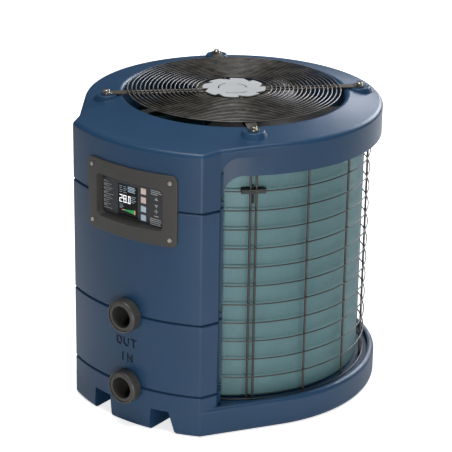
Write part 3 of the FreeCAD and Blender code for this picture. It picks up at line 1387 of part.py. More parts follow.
def electrical_cover():
    (x0, x1), (z0, z1) = BOX_X, BOX_Z
    front = BULKHEAD_Y - FIT - BOX_DEPTH - FIT
    return block(x0, x1, front - BOX_SHEET, front, z0, z1)


def power_pcb():
    """Power board on four pillars, with its relays and heat sink."""
    (x0, x1), (z0, z1) = BOX_X, BOX_Z
    back = BULKHEAD_Y - FIT - BOX_SHEET - FIT
    board_y = back - 10
    parts = [block(x0 + 14, x1 - 58, board_y - PCB, board_y, z0 + 20, z1 - 16)]
    for x in (x0 + 22, x1 - 66):
        for z in (z0 + 28, z1 - 24):
            parts.append(cylinder(3.0, 10, Vector(x, board_y, z), BACK))
    for index in range(3):
        x = x0 + 28 + 30 * index
        parts.append(block(x, x + 18, board_y - PCB - 16, board_y - PCB, z0 + 34, z0 + 58))
    parts.append(block(x0 + 30, x1 - 76, board_y - PCB - 30, board_y - PCB, z1 - 60, z1 - 30))
    return fused(parts)


def terminal_block():
    (x0, x1), (z0, z1) = BOX_X, BOX_Z
    back = BULKHEAD_Y - FIT - BOX_SHEET - FIT
    body = block(x1 - 48, x1 - 14, back - 26, back, z0 + 14, z0 + 104)
    for index in range(5):
        z = z0 + 23 + 18 * index
        body = body.cut(cylinder(4.0, 8.0, Vector(x1 - 31, back - 30, z), BACK))
    return body



def cable_gland():
    """Gland with its hexagon and dome nut outside the base wall."""
    outward = polar(1, GLAND_ANGLE)
    inner = polar(BASE_RADIUS - BASE_WALL - 10, GLAND_ANGLE, GLAND_Z)
    wall_face = polar(BASE_RADIUS + FIT, GLAND_ANGLE, GLAND_Z)
    body = cylinder(GLAND_RADIUS, BASE_WALL + 12, inner, outward)
    nut = hexagon(24.0, 5.0, Vector(0, 0, 0))
    nut.rotate(Vector(0, 0, 0), BACK, 90)
    nut.rotate(Vector(0, 0, 0), UP, GLAND_ANGLE)
    nut.translate(wall_face)
    dome = cylinder(GLAND_RADIUS + 1, 16.0, wall_face + outward * 4, outward)
    tip = [e for e in dome.Edges if (e.CenterOfMass - wall_face - outward * 20).Length < 0.5]
    dome = dome.makeFillet(3.0, tip)
    gland = fused([body, nut, dome])
    return gland.cut(cylinder(GLAND_BORE, 120, inner - outward * 20, outward))


def gland_locknut():
    outward = polar(1, GLAND_ANGLE)
    nut = hexagon(24.0, 5.0, Vector(0, 0, 0)).cut(cylinder(GLAND_RADIUS + FIT / 3, 20, Vector(0, 0, -5)))
    nut.rotate(Vector(0, 0, 0), BACK, 90)
    nut.rotate(Vector(0, 0, 0), UP, GLAND_ANGLE)
    nut.translate(polar(BASE_RADIUS - BASE_WALL - 5.0 - 2 * FIT, GLAND_ANGLE, GLAND_Z))
    return nut


def drain_spout():
    """Condensate spigot under the deck, with a collar through it and a flange in the tray."""
    base = Vector(0, DRAIN_Y, DECK_UNDERSIDE - DRAIN_LENGTH)
    spigot = cylinder(DRAIN_RADIUS, DRAIN_LENGTH, base)
    collar = cylinder(DRAIN_COLLAR, DECK, Vector(0, DRAIN_Y, DECK_UNDERSIDE))
    flange = cylinder(DRAIN_COLLAR + 3, 2.0, Vector(0, DRAIN_Y, DECK_TOP))
    return fused([spigot, collar, flange]).cut(cylinder(DRAIN_BORE, 3 * DECK_UNDERSIDE, base - UP * 5))


def build():
    os.makedirs("parts", exist_ok=True)
    export("base_tray", base_tray())
    export("lower_front_panel", lower_front_panel())
    export("upper_front_panel", upper_front_panel())
    export("top_cowl", top_cowl())
    export("bezel_gasket", bezel_gasket())
    export("control_bezel", control_bezel())
    export("display_window", display_window())
    export("lcd_module", lcd_module())
    export("controller_pcb", controller_pcb())
    export("display_housing", display_housing())
    export("bezel_screws", *bezel_screws())
    for number, z in enumerate(KEY_Z, 1):
        export("key_" + str(number), display_key(z))
    for name, z in zip(("inlet", "outlet"), PORT_Z):
        export(name + "_tailpiece", union_tail(z))
        export(name + "_union_nut", union_nut(z))
    export("guard_rings", *guard_rings())
    export("guard_arms", *[guard_arm(angle) for angle in ARM_ANGLES])
    export("guard_bolts", *guard_bolts())
    export("guard_washers", *guard_washers())
    export("guard_inserts", *guard_inserts())
    export("hub_plate", hub_plate())
    export("motor_mount", motor_mount())
    export("fan_motor", fan_motor())
    export("fan_rotor", fan_rotor())
    export("rotor_clip", rotor_clip())
    export("evaporator_coil", evaporator_coil())
    export("coil_feet", *coil_feet())
    export("coil_end_plates", *coil_end_plates())
    export("coil_bends", *coil_bends())
    export("coil_posts", *coil_posts())
    export("cage_rings", *cage_rings())
    export("cage_rods", *cage_rods())
    export("sensor_clip", sensor_clip())
    export("air_sensor", air_sensor())
    export("exchanger_vessel", exchanger_vessel())
    export("exchanger_lid", exchanger_lid())
    export("compressor", compressor())
    export("compressor_grommets", *compressor_grommets())
    export("accumulator", accumulator())
    export("four_way_valve", four_way_valve())
    export("discharge_pipe", discharge_pipe())
    export("suction_pipe", suction_pipe())
    export("condenser_pipe", condenser_pipe())
    export("evaporator_pipe", evaporator_pipe())
    export("header_pipe", header_pipe())
    export("filter_drier", filter_drier())
    export("liquid_pipe", liquid_pipe())
    export("expansion_valve", expansion_valve())
    export("distributor_pipe", distributor_pipe())
    export("bulkhead", bulkhead())
    export("electrical_box", electrical_box())
    export("electrical_cover", electrical_cover())
    export("power_pcb", power_pcb())
    export("terminal_block", terminal_block())
    export("cable_gland", cable_gland(), gland_locknut())
    export("drain_spout", drain_spout())


build()
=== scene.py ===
import math

import bpy
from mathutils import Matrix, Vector


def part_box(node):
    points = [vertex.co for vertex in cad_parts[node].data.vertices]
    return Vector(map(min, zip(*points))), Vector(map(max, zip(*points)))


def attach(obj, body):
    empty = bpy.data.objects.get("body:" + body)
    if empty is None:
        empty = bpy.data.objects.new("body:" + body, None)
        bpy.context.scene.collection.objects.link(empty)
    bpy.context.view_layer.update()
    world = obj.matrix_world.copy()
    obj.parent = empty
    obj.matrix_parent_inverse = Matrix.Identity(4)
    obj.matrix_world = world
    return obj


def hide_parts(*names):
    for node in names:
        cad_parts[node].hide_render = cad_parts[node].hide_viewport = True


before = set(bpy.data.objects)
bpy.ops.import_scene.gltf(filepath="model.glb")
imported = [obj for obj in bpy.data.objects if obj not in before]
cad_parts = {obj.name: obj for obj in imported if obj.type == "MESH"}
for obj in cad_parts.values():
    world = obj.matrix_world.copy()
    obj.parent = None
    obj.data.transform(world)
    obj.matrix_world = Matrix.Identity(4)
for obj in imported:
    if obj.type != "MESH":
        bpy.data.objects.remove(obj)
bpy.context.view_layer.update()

bl_info = {
    "name": "Pool Heat Pump Finish",
    "version": (1, 0, 0),
    "blender": (4, 5, 0),
    "location": "View3D > Sidebar > Heat Pump",
    "description": "Finishes a vertical-discharge pool heat pump and sets it on a studio floor",
    "category": "Object",
}

MM = 0.001

# Port labels, whose sunken faces get a painted shade: between the two ports, just behind the curved front
# face. Metres.
FRONT_RADIUS = 0.396           # about a centre on the Y axis
FRONT_CENTRE_Y = 0.006
PORT_X = 0.011
PORT_Z = (0.0974, 0.268)
LABEL_REACH = 0.045            # clear of a port's centre line
LABEL_SUNK = (0.0001, 0.0035)  # least and greatest depth of a sunken face

# Fin pack, in millimetres and degrees from the +X axis.
FIN_OUTER = 297.0
FIN_INNER = 256.0
FIN_START = -59.0
FIN_SWEEP = 298.0
FIN_PLEAT = ((0.02, 0.0), (0.52, 0.0), (0.56, 1.0), (0.96, 1.0))  # share of a pitch, share of the depth

# Marks on the display window, in millimetres.
WINDOW_FACE = -372.02          # just proud of the window
GLASS_FACE = WINDOW_FACE - 0.06
MARK_THICK = 0.05
DIGIT_Z = 516.0
DIGIT_HEIGHT = 17.0

# Studio.
FLOOR_HALF = 12.0              # metres
LIGHT_TARGET = (0.0, 0.0, 0.4)
CAMERA_TARGET = (-16.56, 0.0, 346.6)  # millimetres
SENSOR_WIDTH = 36.0            # millimetres
FLOOR_GLOW = 0.75
SKY_SEEN = 1.1


def linear(code):
    """Linear colour of an sRGB hex value, with alpha."""
    parts = [int(code[place:place + 2], 16) / 255 for place in (0, 2, 4)]
    bent = [part / 12.92 if part <= 0.04045 else ((part + 0.055) / 1.055) ** 2.4 for part in parts]
    return (*bent, 1.0)


# ---- settings a user would change -----------------------------------------------------------

def colour(name, description, code):
    """Colour setting with an sRGB hex default."""
    return bpy.props.FloatVectorProperty(
        name=name, description=description, size=4, subtype="COLOR", min=0.0, max=1.0, default=linear(code))


def length(name, description, millimetres):
    return bpy.props.FloatProperty(name=name, description=description, unit="LENGTH",
                                   default=millimetres * MM)


def power(name, description, watts):
    return bpy.props.FloatProperty(name=name, description=description, unit="POWER", default=watts)


def angle(name, description, degrees):
    return bpy.props.FloatProperty(name=name, description=description, unit="ROTATION",
                                   default=math.radians(degrees))


class CasingSettings(bpy.types.PropertyGroup):
    shell: colour("Casing", "Colour of the moulded casing", "1B3A57")
    shell_worn: colour("Casing, faded", "Colour of the casing where it is a shade lighter", "1E3E5C")
    grain: length("Grain", "Width of one grain in the moulding's texture", 2.6)


class CoilSettings(bpy.types.PropertyGroup):
    fins: colour("Fins", "Colour of the coated fins", "5F8084")
    fins_deep: colour("Fins, between", "Colour deep between the fins", "587A7E")
    pitch: length("Fin pitch", "Distance between two fins; drawn coarser than the real 1.8 mm", 3.6)
    depth: length("Fin depth", "How far the gaps between the fins run in", 0.5)


class GuardSettings(bpy.types.PropertyGroup):
    wire: colour("Fan guard wire", "Colour of the coated wire over the fan", "57534D")
    cage_wire: colour("Cage wire", "Colour of the coated rings and rods round the coil", "2F2B27")
    plate: colour("Hub plate", "Colour of the pressed hub plate", "C6C9CB")
    zinc: colour("Fasteners", "Colour of the zinc-plated bolts, washers and screws", "C4C1B8")


class PanelSettings(bpy.types.PropertyGroup):
    bezel: colour("Bezel", "Colour of the moulded bezel", "393736")
    window: colour("Window", "Colour of the window behind its gloss", "2B2D30")
    key_warm: colour("Warm keys", "Colour of the two upper keys", "E3CDC4")
    key_cool: colour("Cool keys", "Colour of the two lower keys", "BCD0DC")
    ink: colour("Ink", "Colour of the printed marks", "9A9DA0")
    lit: colour("Digits", "Colour of the lit digits", "F4F6F7")
    level: colour("Level", "Colour of the level wedge", "1E8A45")


class UnionSettings(bpy.types.PropertyGroup):
    plastic: colour("Unions", "Colour of the moulded unions", "3B3A37")


class StageSettings(bpy.types.PropertyGroup):
    azimuth: angle("Azimuth", "Camera's turn round the object from straight in front", 36.55)
    elevation: angle("Elevation", "Camera's height above the horizon", 21.54)
    roll: angle("Roll", "Camera's tilt about its own axis", 0.9)
    distance: length("Distance", "Camera's distance from the point it looks at", 4444.4)
    lens: bpy.props.FloatProperty(name="Lens", description="Focal length in millimetres", default=152.53)
    key: power("Key light", "Power of the key light", 16.0)
    back: power("Back light", "Power of the back light", 105.0)
    front: power("Front light", "Power of the front light", 54.0)
    top: power("Top light", "Power of the top light", 95.0)
    fill: bpy.props.FloatProperty(name="Fill", description="Strength of the light from all round",
                                  default=0.085)


# ---- building blocks ------------------------------------------------------------------------

def add(tree, kind, inputs=None, **settings):
    """Adds a node with its settings, and gives each input a value or another node's socket."""
    new = tree.nodes.new(kind)
    for name, value in settings.items():
        setattr(new, name, value)
    for name, value in (inputs or {}).items():
        if isinstance(value, bpy.types.NodeSocket):
            tree.links.new(value, new.inputs[name])
        else:
            new.inputs[name].default_value = value
    return new


def finish(name, light, dark, spot, grain, height, **shader):
    """A surface whose colour drifts between two shades in spots, over a fine raised grain.

    spot and grain are widths and height is the grain's depth, all in metres.
    """
    made = bpy.data.materials.new(name)
    made.use_nodes = True
    tree = made.node_tree
    tree.nodes.clear()
    place = add(tree, "ShaderNodeTexCoord").outputs["Object"]
    patches = add(tree, "ShaderNodeTexNoise",
                  {"Vector": place, "Scale": 1 / spot, "Detail": 3.0, "Roughness": 0.55})
    share = add(tree, "ShaderNodeMapRange", {"Value": patches.outputs[0], "From Min": 0.35, "From Max": 0.65})
    mixed = add(tree, "ShaderNodeMix", {0: share.outputs[0], 6: light, 7: dark}, data_type="RGBA")
    grains = add(tree, "ShaderNodeTexNoise", {"Vector": place, "Scale": 1 / grain, "Detail": 2.0})
    bump = add(tree, "ShaderNodeBump", {"Height": grains.outputs[0], "Distance": height, "Strength": 0.6})
    values = {"Base Color": mixed.outputs[2], "Normal": bump.outputs[0]}
    for key, value in shader.items():
        values[key.replace("_", " ").title().replace("Ior", "IOR")] = value
    surface = add(tree, "ShaderNodeBsdfPrincipled", values)
    add(tree, "ShaderNodeOutputMaterial", {"Surface": surface.outputs[0]})
    return made


def paint(names, made):
    """Gives whole nodes one material."""
    for name in names:
        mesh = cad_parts[name].data
        mesh.materials.clear()
        mesh.materials.append(made)


def soften(names, degrees=35):
    """Smooth shading that keeps the edges sharper than an angle."""
    for name in names:
        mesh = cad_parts[name].data
        mesh.shade_smooth()
        mesh.set_sharp_from_angle(angle=math.radians(degrees))


def piece(name, points, faces, made, slot):
    """A new mesh that rides on the casing."""
    mesh = bpy.data.meshes.new(name)
    mesh.from_pydata(points, [], faces)
    mesh.validate()
    mesh.update()
    mesh.materials.append(made)
    new = bpy.data.objects.new(name, mesh)
    bpy.context.collection.objects.link(new)
    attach(new, "casing")
    return new


def slabs(outlines, back):
    """Points and faces of thin flat plates on the window; each outline is a list of (x, z) in millimetres."""
    points, faces = [], []
    for outline in outlines:
        start, count = len(points), len(outline)
        for y in (back, back - MARK_THICK):
            points += [(x * MM, y * MM, z * MM) for x, z in outline]
        faces.append([start + index for index in range(count)])
        faces.append([start + count + index for index in reversed(range(count))])
        for index in range(count):
            after = (index + 1) % count
            faces.append([start + after, start + index, start + count + index, start + count + after])
    return points, faces


def bar(x, z, width, height):
    """Outline of an upright rectangle from its lower left corner, in millimetres."""
    return [(x, z), (x + width, z), (x + width, z + height), (x, z + height)]


# ---- casing ---------------------------------------------------------------------------------

def shade_labels(name, made):
    """Gives the sunken faces of the port labels their own material, a painted shade."""
    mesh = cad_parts[name].data
    mesh.materials.append(made)
    for face in mesh.polygons:
        middle = face.center
        away = math.hypot(middle.x, middle.y - FRONT_CENTRE_Y)
        beside = abs(middle.x - PORT_X) < LABEL_REACH
        between = PORT_Z[0] + LABEL_REACH < middle.z < PORT_Z[1] - LABEL_REACH
        if beside and between and LABEL_SUNK[0] < FRONT_RADIUS - away < LABEL_SUNK[1]:
            face.material_index = 1


class HEATPUMP_OT_casing(bpy.types.Operator):
    """Finish the base, the front panels and the top cowl"""
    bl_idname = "heatpump.casing"
    bl_label = "Casing"

    def execute(self, context):
        chosen = context.scene.heatpump_casing
        # ABS from a textured mould: a satin skin whose grain breaks up the highlights.
        abs_shell = finish("Moulded blue ABS", chosen.shell, chosen.shell_worn, 0.16, chosen.grain, 0.0004,
                           roughness=0.4, ior=1.53, specular_ior_level=0.35)
        names = ("base_tray", "lower_front_panel", "upper_front_panel", "top_cowl")
        paint(names, abs_shell)
        soften(names, 28)
        # Painted shade in the sunken port labels: a flat darker blue that darkens the recesses.
        label_shade = finish("Painted label shade", linear("0E2238"), linear("10263E"), 0.02, 0.002, 0.00002,
                        roughness=0.5)
        shade_labels("lower_front_panel", label_shade)
        return {"FINISHED"}


# ---- coil and its wire guard ----------------------------------------------------------------

def fin_pack(pitch, depth):
    """Curved block of upright fins, pleated on its outer and inner faces."""
    low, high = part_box("evaporator_coil")
    outer, inner = FIN_OUTER * MM, FIN_INNER * MM
    start, sweep = math.radians(FIN_START), math.radians(FIN_SWEEP)
    count = int(sweep * outer / pitch)
    profile = []
    for index in range(count):
        for share, sunk in FIN_PLEAT:
            profile.append((start + sweep * (index + share) / count, sunk * depth))
    points = []
    for turn, sunk in profile:
        for radius in (outer - sunk, inner + sunk):
            for z in (low[2], high[2]):
                points.append((radius * math.cos(turn), radius * math.sin(turn), z))
    faces = []
    for index in range(len(profile) - 1):
        a, b = 4 * index, 4 * index + 4
        faces += [(a, b, b + 1, a + 1), (a + 2, a + 3, b + 3, b + 2),
                  (a, a + 2, b + 2, b), (a + 1, b + 1, b + 3, a + 3)]
    last = 4 * (len(profile) - 1)
    faces += [(0, 1, 3, 2), (last, last + 2, last + 3, last + 1)]
    return points, faces


class HEATPUMP_OT_coil(bpy.types.Operator):
    """Build the fin pack and finish the coil's plates and feet, the galvanised sheet parts and the rubber
    parts
    """
    bl_idname = "heatpump.coil"
    bl_label = "Evaporator coil"

    def execute(self, context):
        chosen = context.scene.heatpump_coil
        # Aluminium fins with a water-shedding coating: a soft blue-green sheen, streaked from top to bottom.
        fins = finish("Coated aluminium fins", chosen.fins, chosen.fins_deep, 0.09, 0.004, 0.0001,
                      roughness=0.45, metallic=0.25)
        pack = piece("coil_fins", *fin_pack(chosen.pitch, chosen.depth), fins, "coil_fins")
        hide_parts("evaporator_coil")
        # Hot-dip galvanised sheet: pale grey with a faint spangle.
        sheet = finish("Galvanised sheet", linear("A9ADAD"), linear("8F9494"), 0.012, 0.004, 0.00003,
                       roughness=0.42, metallic=0.9)
        paint(("coil_end_plates", "bulkhead", "electrical_box", "electrical_cover"), sheet)
        # EPDM rubber: matt black with a slight bloom.
        rubber = finish("Moulded EPDM rubber", linear("1B1B1B"), linear("262625"), 0.02, 0.0015, 0.0001,
                        roughness=0.8)
        paint(("coil_feet", "bezel_gasket", "compressor_grommets"), rubber)
        return {"FINISHED"}


class HEATPUMP_OT_wire_guard(bpy.types.Operator):
    """Finish the wires round the coil and over the fan, and the nylon pieces"""
    bl_idname = "heatpump.wire_guard"
    bl_label = "Wire guard"

    def execute(self, context):
        chosen = context.scene.heatpump_guard
        # Drawn steel wire under a satin powder coat: orange peel a millimetre or two across.
        for names, shade, tone in (
                (("cage_rings", "cage_rods", "coil_posts"), chosen.cage_wire, "Powder-coated cage wire"),
                (("guard_rings", "guard_arms", "motor_mount"), chosen.wire, "Powder-coated guard wire")):
            paint(names, finish(tone, shade, linear("2A2723"), 0.03, 0.0012, 0.00005,
                                roughness=0.38, ior=1.5, specular_ior_level=0.7))
            soften(names, 50)
        # Nylon from a smooth mould: black with a low even sheen.
        nylon = finish("Moulded black nylon", linear("1C1C1C"), linear("242424"), 0.02, 0.001, 0.00005,
                       roughness=0.5)
        names = ("sensor_clip", "air_sensor", "display_housing", "exchanger_vessel", "exchanger_lid",
                 "cable_gland", "drain_spout")
        paint(names, nylon)
        soften(names, 40)
        return {"FINISHED"}


# ---- fan and its guard ----------------------------------------------------------------------

class HEATPUMP_OT_fan_guard(bpy.types.Operator):
    """Finish the hub plate and the guard's fasteners"""
    bl_idname = "heatpump.fan_guard"
    bl_label = "Fan guard"

    def execute(self, context):
        chosen = context.scene.heatpump_guard
        # Pressed aluminium sheet with a satin lacquer: bright, with soft broad highlights.
        plate = finish("Pressed aluminium", chosen.plate, linear("BFC2C4"), 0.08, 0.0008, 0.00001,
                       roughness=0.4, metallic=0.3)
        paint(("hub_plate",), plate)
        # Zinc-plated steel: bright grey with a warm cast.
        zinc = finish("Zinc-plated steel", chosen.zinc, linear("A8A49A"), 0.006, 0.0006, 0.00002,
                      roughness=0.28, metallic=1.0)
        paint(("guard_bolts", "guard_washers", "bezel_screws", "rotor_clip"), zinc)
        soften(("hub_plate", "guard_bolts", "guard_washers", "bezel_screws"), 30)
        return {"FINISHED"}


class HEATPUMP_OT_fan(bpy.types.Operator):
    """Finish the fan and its motor"""
    bl_idname = "heatpump.fan"
    bl_label = "Fan"

    def execute(self, context):
        # Glass-filled polypropylene: near-black with a dull sheen along the blades.
        blades = finish("Glass-filled polypropylene", linear("262524"), linear("1D1C1C"), 0.05, 0.0015,
                        0.00008, roughness=0.42)
        paint(("fan_rotor",), blades)
        soften(("fan_rotor",), 40)
        # Die-cast aluminium: grey, slightly rough from the die.
        cast = finish("Die-cast aluminium", linear("8A8C8E"), linear("757779"), 0.02, 0.0012, 0.00005,
                      roughness=0.5, metallic=0.85)
        paint(("fan_motor",), cast)
        soften(("fan_motor",), 40)
        return {"FINISHED"}


# ---- control panel --------------------------------------------------------------------------

SEGMENTS = {"0": "abcdef", "2": "abged", "8": "abcdefg"}


def digit(figure, x, width, stroke):
    """Seven-segment figure; a is the top bar and g the middle one."""
    half = DIGIT_HEIGHT / 2
    bars = {
        "a": bar(x, DIGIT_Z + DIGIT_HEIGHT - stroke, width, stroke),
        "b": bar(x + width - stroke, DIGIT_Z + half, stroke, half),
        "c": bar(x + width - stroke, DIGIT_Z, stroke, half),
        "d": bar(x, DIGIT_Z, width, stroke),
        "e": bar(x, DIGIT_Z, stroke, half),
        "f": bar(x, DIGIT_Z + half, stroke, half),
        "g": bar(x, DIGIT_Z + half - stroke / 2, width, stroke),
    }
    return [bars[name] for name in SEGMENTS[figure]]


def rows(x, z, pitch, widths, height):
    """Short bars one under another, like lines of small print."""
    return [bar(x, z - pitch * index, width, height) for index, width in enumerate(widths)]


class HEATPUMP_OT_control_panel(bpy.types.Operator):
    """Finish the bezel, window and keys, and lay the marks on the window"""
    bl_idname = "heatpump.control_panel"
    bl_label = "Control panel"

    def execute(self, context):
        chosen = context.scene.heatpump_panel
        # ABS from a finely etched mould: a warm dark grey with a low sheen.
        bezel = finish("Etched grey ABS", chosen.bezel, linear("353431"), 0.05, 0.0016, 0.00012,
                       roughness=0.48, ior=1.53)
        paint(("control_bezel",), bezel)
        soften(("control_bezel",), 30)
        # Printed polycarbonate sheet under a hard coat: dark, with a clear reflection.
        window = finish("Hard-coated polycarbonate", chosen.window, linear("292B2E"), 0.08, 0.002, 0.00002,
                        roughness=0.25, ior=1.58, specular_ior_level=0.35)
        paint(("display_window", "lcd_module", "terminal_block"), window)
        # Moulded silicone with a soft-touch skin: pale, and nearly without a highlight.
        for names, shade, tone in ((("key_1", "key_2"), chosen.key_warm, "Warm silicone"),
                                   (("key_3", "key_4"), chosen.key_cool, "Cool silicone")):
            paint(names, finish(tone, shade, shade, 0.01, 0.001, 0.00003, roughness=0.5))
            soften(names, 40)
        # Solder mask over a glass-fibre board: deep green with a wet gloss.
        board = finish("Solder mask", linear("1F5B38"), linear("184A2D"), 0.01, 0.002, 0.0001, roughness=0.35)
        paint(("controller_pcb", "power_pcb"), board)
        self.marks(chosen)
        return {"FINISHED"}

    def marks(self, chosen):
        """Thin plates for the display's glass, its lit signs and the print beside it."""
        # Black display glass, polished flat: a mirror-like face over nothing.
        glass = finish("Black display glass", linear("050506"), linear("070708"), 0.05, 0.004, 0.00001,
                       roughness=0.12, ior=1.5, specular_ior_level=0.2)
        piece("display_glass", *slabs([bar(-30, 486.5, 54, 71)], WINDOW_FACE), glass, "lcd_glass")
        # Light-emitting figures: they glow evenly, the small signs bluer and dimmer than the digits.
        lit = finish("Lit figures", chosen.lit, chosen.lit, 0.01, 0.001, 0.00001,
                     roughness=0.4, emission_color=chosen.lit, emission_strength=0.6)
        figures = digit("2", -26, 8, 1.7) + digit("8", -15, 8, 1.7)
        figures += [bar(-5.4, DIGIT_Z, 1.8, 1.8)] + digit("0", -2, 6, 1.6)
        piece("display_figures", *slabs(figures, GLASS_FACE), lit, "key_blue")
        small = finish("Lit small signs", linear("A8BCC8"), linear("8FA8B8"), 0.01, 0.001, 0.00001,
                       roughness=0.4, emission_color=linear("A8BCC8"), emission_strength=0.3)
        signs = rows(-26, 552, 4.4, (8, 6, 9, 7), 0.9) + rows(-15, 552, 4.4, (7, 9, 6, 8), 0.9)
        signs += rows(-3, 553, 3.4, (19, 21, 18, 20), 1.7) + rows(6, 533, 4.2, (13, 10, 14, 9), 0.9)
        signs += rows(-26, 510, 3.6, (9, 12, 8), 0.8)
        piece("display_signs", *slabs(signs, GLASS_FACE), small, "key_blue")
        green = finish("Lit level", chosen.level, chosen.level, 0.01, 0.001, 0.00001,
                       roughness=0.4, emission_color=chosen.level, emission_strength=0.5)
        wedge = [(-12, 497.8), (15, 494.5), (15, 503.5), (-12, 500.2)]
        piece("display_level", *slabs([wedge], GLASS_FACE), green, "key_blue")
        warm = finish("Lit level ends", linear("E0B090"), linear("D89A80"), 0.01, 0.001, 0.00001,
                      roughness=0.4, emission_color=linear("E0B090"), emission_strength=0.4)
        ends = [bar(15, 494, 2.4, 10), [(-20, 498.7), (-12, 497.8), (-12, 500.2), (-20, 499.3)]]
        piece("display_level_ends", *slabs(ends, GLASS_FACE), warm, "key_rose")
        # Screen-printed ink beside the display: flat pale grey.
        ink = finish("Screen-printed ink", chosen.ink, linear("A6A9AB"), 0.02, 0.002, 0.00001, roughness=0.6)
        print_left = rows(-70, 553, 4.6, (14, 22, 17, 25, 20, 13, 27, 18, 24, 16, 12, 19, 11, 23), 0.9)
        print_left += rows(-70, 555.3, 9.2, (7, 9, 6, 8, 7, 5, 8), 1.1)
        print_right = rows(60, 561, 4.2, (26, 30, 18), 1.8) + rows(58, 497, 4.2, (30, 31, 28, 30), 1.8)
        arrows = [[(70, 541), (80, 541), (75, 548)], [(70, 531), (80, 531), (75, 524)],
                  bar(70, 515, 10, 2.2), bar(73.9, 511, 2.2, 10), bar(69, 504, 12, 2.0)]
        piece("window_print", *slabs(print_left + print_right + arrows, WINDOW_FACE), ink, "window_plastic")


# ---- water unions ---------------------------------------------------------------------------

class HEATPUMP_OT_unions(bpy.types.Operator):
    """Finish the water unions"""
    bl_idname = "heatpump.unions"
    bl_label = "Water unions"

    def execute(self, context):
        chosen = context.scene.heatpump_union
        # PVC from a polished mould: warm grey with a satin skin.
        pvc = finish("Moulded grey PVC", chosen.plastic, linear("383734"), 0.03, 0.0014, 0.0001,
                     roughness=0.4, ior=1.53)
        names = ("inlet_tailpiece", "inlet_union_nut", "outlet_tailpiece", "outlet_union_nut")
        paint(names, pvc)
        soften(names, 35)
        return {"FINISHED"}


# ---- inside ---------------------------------------------------------------------------------

class HEATPUMP_OT_circuit(bpy.types.Operator):
    """Finish the compressor, valves and pipes"""
    bl_idname = "heatpump.circuit"
    bl_label = "Refrigerant circuit"

    def execute(self, context):
        # Drawn copper: reddish, browned by handling and brazing.
        copper = finish("Drawn copper", linear("B8734E"), linear("8F5A40"), 0.03, 0.001, 0.00002,
                        roughness=0.32, metallic=1.0)
        names = ("discharge_pipe", "suction_pipe", "condenser_pipe", "evaporator_pipe", "header_pipe",
                 "filter_drier", "liquid_pipe", "distributor_pipe", "coil_bends")
        paint(names, copper)
        soften(names, 50)
        # Turned brass: yellow, with a fine bright cut.
        brass = finish("Turned brass", linear("B99A58"), linear("A5874A"), 0.02, 0.0008, 0.00002,
                       roughness=0.3, metallic=1.0)
        paint(("four_way_valve", "expansion_valve", "guard_inserts"), brass)
        # Black enamel baked on a welded steel shell: a deep gloss.
        enamel = finish("Black enamel", linear("151515"), linear("1D1D1D"), 0.05, 0.003, 0.00008,
                        roughness=0.22, ior=1.5)
        paint(("compressor", "accumulator"), enamel)
        soften(("four_way_valve", "expansion_valve", "compressor", "accumulator"), 40)
        return {"FINISHED"}


# ---- stage ----------------------------------------------------------------------------------

def aim(thing, target):
    """Points a light or the camera at a place."""
    thing.rotation_euler = (target - thing.location).to_track_quat("-Z", "Y").to_euler()


def softbox(name, turn, rise, distance, size, watts, shade):
    """Area light at a turn and rise about the object, in degrees, at a distance in metres."""
    lamp = bpy.data.lights.new(name, "AREA")
    lamp.shape = "RECTANGLE"
    lamp.size, lamp.size_y = size
    lamp.energy = watts
    lamp.color = linear(shade)[:3]
    holder = bpy.data.objects.new(name, lamp)
    bpy.context.collection.objects.link(holder)
    flat = math.cos(math.radians(rise))
    way = Vector((math.sin(math.radians(turn)) * flat, -math.cos(math.radians(turn)) * flat,
                  math.sin(math.radians(rise))))
    middle = Vector(LIGHT_TARGET)
    holder.location = middle + way * distance
    aim(holder, middle)
    return holder


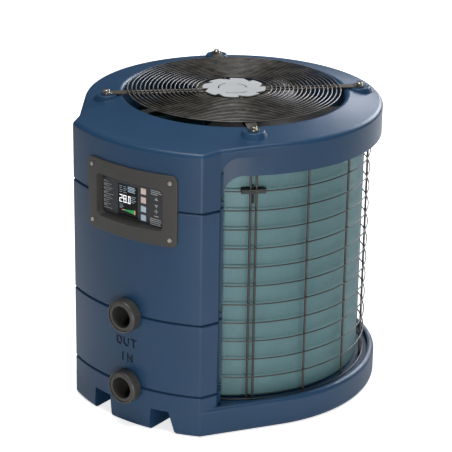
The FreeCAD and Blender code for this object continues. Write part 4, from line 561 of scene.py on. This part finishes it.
class HEATPUMP_OT_stage(bpy.types.Operator):
    """Set the floor, the lights and the camera"""
    bl_idname = "heatpump.stage"
    bl_label = "Studio"

    def execute(self, context):
        chosen = context.scene.heatpump_stage
        scene = context.scene
        corners = [(x * FLOOR_HALF, y * FLOOR_HALF, 0) for x, y in ((-1, -1), (1, -1), (1, 1), (-1, 1))]
        mesh = bpy.data.meshes.new("studio_floor")
        mesh.from_pydata(corners, [], [(0, 1, 2, 3)])
        floor = bpy.data.objects.new("studio_floor", mesh)
        context.collection.objects.link(floor)
        # Rolled white paper lit from beneath: even and without a highlight.
        paper = finish("Lit paper backdrop", linear("FFFFFF"), linear("FBFBFB"), 0.5, 0.01, 0.0001,
                       roughness=0.9, emission_color=linear("FFFFFF"))
        glow = add(paper.node_tree, "ShaderNodeLightPath").outputs["Is Camera Ray"]
        strength = add(paper.node_tree, "ShaderNodeMapRange", {"Value": glow, "To Max": FLOOR_GLOW})
        shader = next(node for node in paper.node_tree.nodes if node.type == "BSDF_PRINCIPLED")
        paper.node_tree.links.new(strength.outputs[0], shader.inputs["Emission Strength"])
        mesh.materials.append(paper)
        world = bpy.data.worlds.new("studio")
        scene.world = world
        world.use_nodes = True
        tree = world.node_tree
        tree.nodes.clear()
        seen = add(tree, "ShaderNodeLightPath").outputs["Is Camera Ray"]
        strength = add(tree, "ShaderNodeMapRange", {"Value": seen, "To Min": chosen.fill, "To Max": SKY_SEEN})
        sky = add(tree, "ShaderNodeBackground", {"Color": (1, 1, 1, 1), "Strength": strength.outputs[0]})
        add(tree, "ShaderNodeOutputWorld", {"Surface": sky.outputs[0]})
        softbox("key_light", 70, 6, 4.0, (0.3, 0.3), chosen.key, "FFFFFF")
        softbox("front_light", 34, -3, 4.0, (0.5, 0.2), chosen.front, "FFFFFF")
        softbox("top_light", 20, 78, 3.2, (1.6, 1.6), chosen.top, "FFFFFF")
        softbox("back_light", 180, 24, 3.6, (2.4, 1.2), chosen.back, "F4F8FF")
        lens = bpy.data.cameras.new("camera")
        lens.lens = chosen.lens
        lens.sensor_width = SENSOR_WIDTH
        camera = bpy.data.objects.new("camera", lens)
        context.collection.objects.link(camera)
        target = Vector(CAMERA_TARGET) * MM
        flat = math.cos(chosen.elevation)
        way = Vector((math.sin(chosen.azimuth) * flat, -math.cos(chosen.azimuth) * flat,
                      math.sin(chosen.elevation)))
        camera.location = target + way * chosen.distance
        aim(camera, target)
        camera.rotation_euler.rotate_axis("Z", chosen.roll)
        scene.camera = camera
        scene.view_settings.view_transform = "Standard"
        return {"FINISHED"}


# ---- sidebar --------------------------------------------------------------------------------

class HEATPUMP_PT_panel(bpy.types.Panel):
    """Lists the pieces in the order they are built"""
    bl_idname = "HEATPUMP_PT_panel"
    bl_label = "Heat Pump"
    bl_space_type = "VIEW_3D"
    bl_region_type = "UI"
    bl_category = "Heat Pump"

    def draw(self, context):
        for step in STEPS:
            self.layout.operator(step.bl_idname)
        for name in GROUPS:
            box = self.layout.box()
            chosen = getattr(context.scene, name)
            for key in chosen.__annotations__:
                box.prop(chosen, key)


STEPS = (HEATPUMP_OT_casing, HEATPUMP_OT_coil, HEATPUMP_OT_wire_guard, HEATPUMP_OT_fan_guard, HEATPUMP_OT_fan,
         HEATPUMP_OT_control_panel, HEATPUMP_OT_unions, HEATPUMP_OT_circuit, HEATPUMP_OT_stage)
GROUPS = {"heatpump_casing": CasingSettings, "heatpump_coil": CoilSettings, "heatpump_guard": GuardSettings,
          "heatpump_panel": PanelSettings, "heatpump_union": UnionSettings, "heatpump_stage": StageSettings}


def register():
    for cls in (*GROUPS.values(), *STEPS, HEATPUMP_PT_panel):
        bpy.utils.register_class(cls)
    for name, group in GROUPS.items():
        setattr(bpy.types.Scene, name, bpy.props.PointerProperty(type=group))


def unregister():
    for name in GROUPS:
        delattr(bpy.types.Scene, name)
    for cls in (HEATPUMP_PT_panel, *reversed(STEPS), *GROUPS.values()):
        bpy.utils.unregister_class(cls)


def main():
    register()
    for step in STEPS:
        group, _, name = step.bl_idname.partition(".")
        getattr(getattr(bpy.ops, group), name)()


if __name__ == "__main__":
    main()
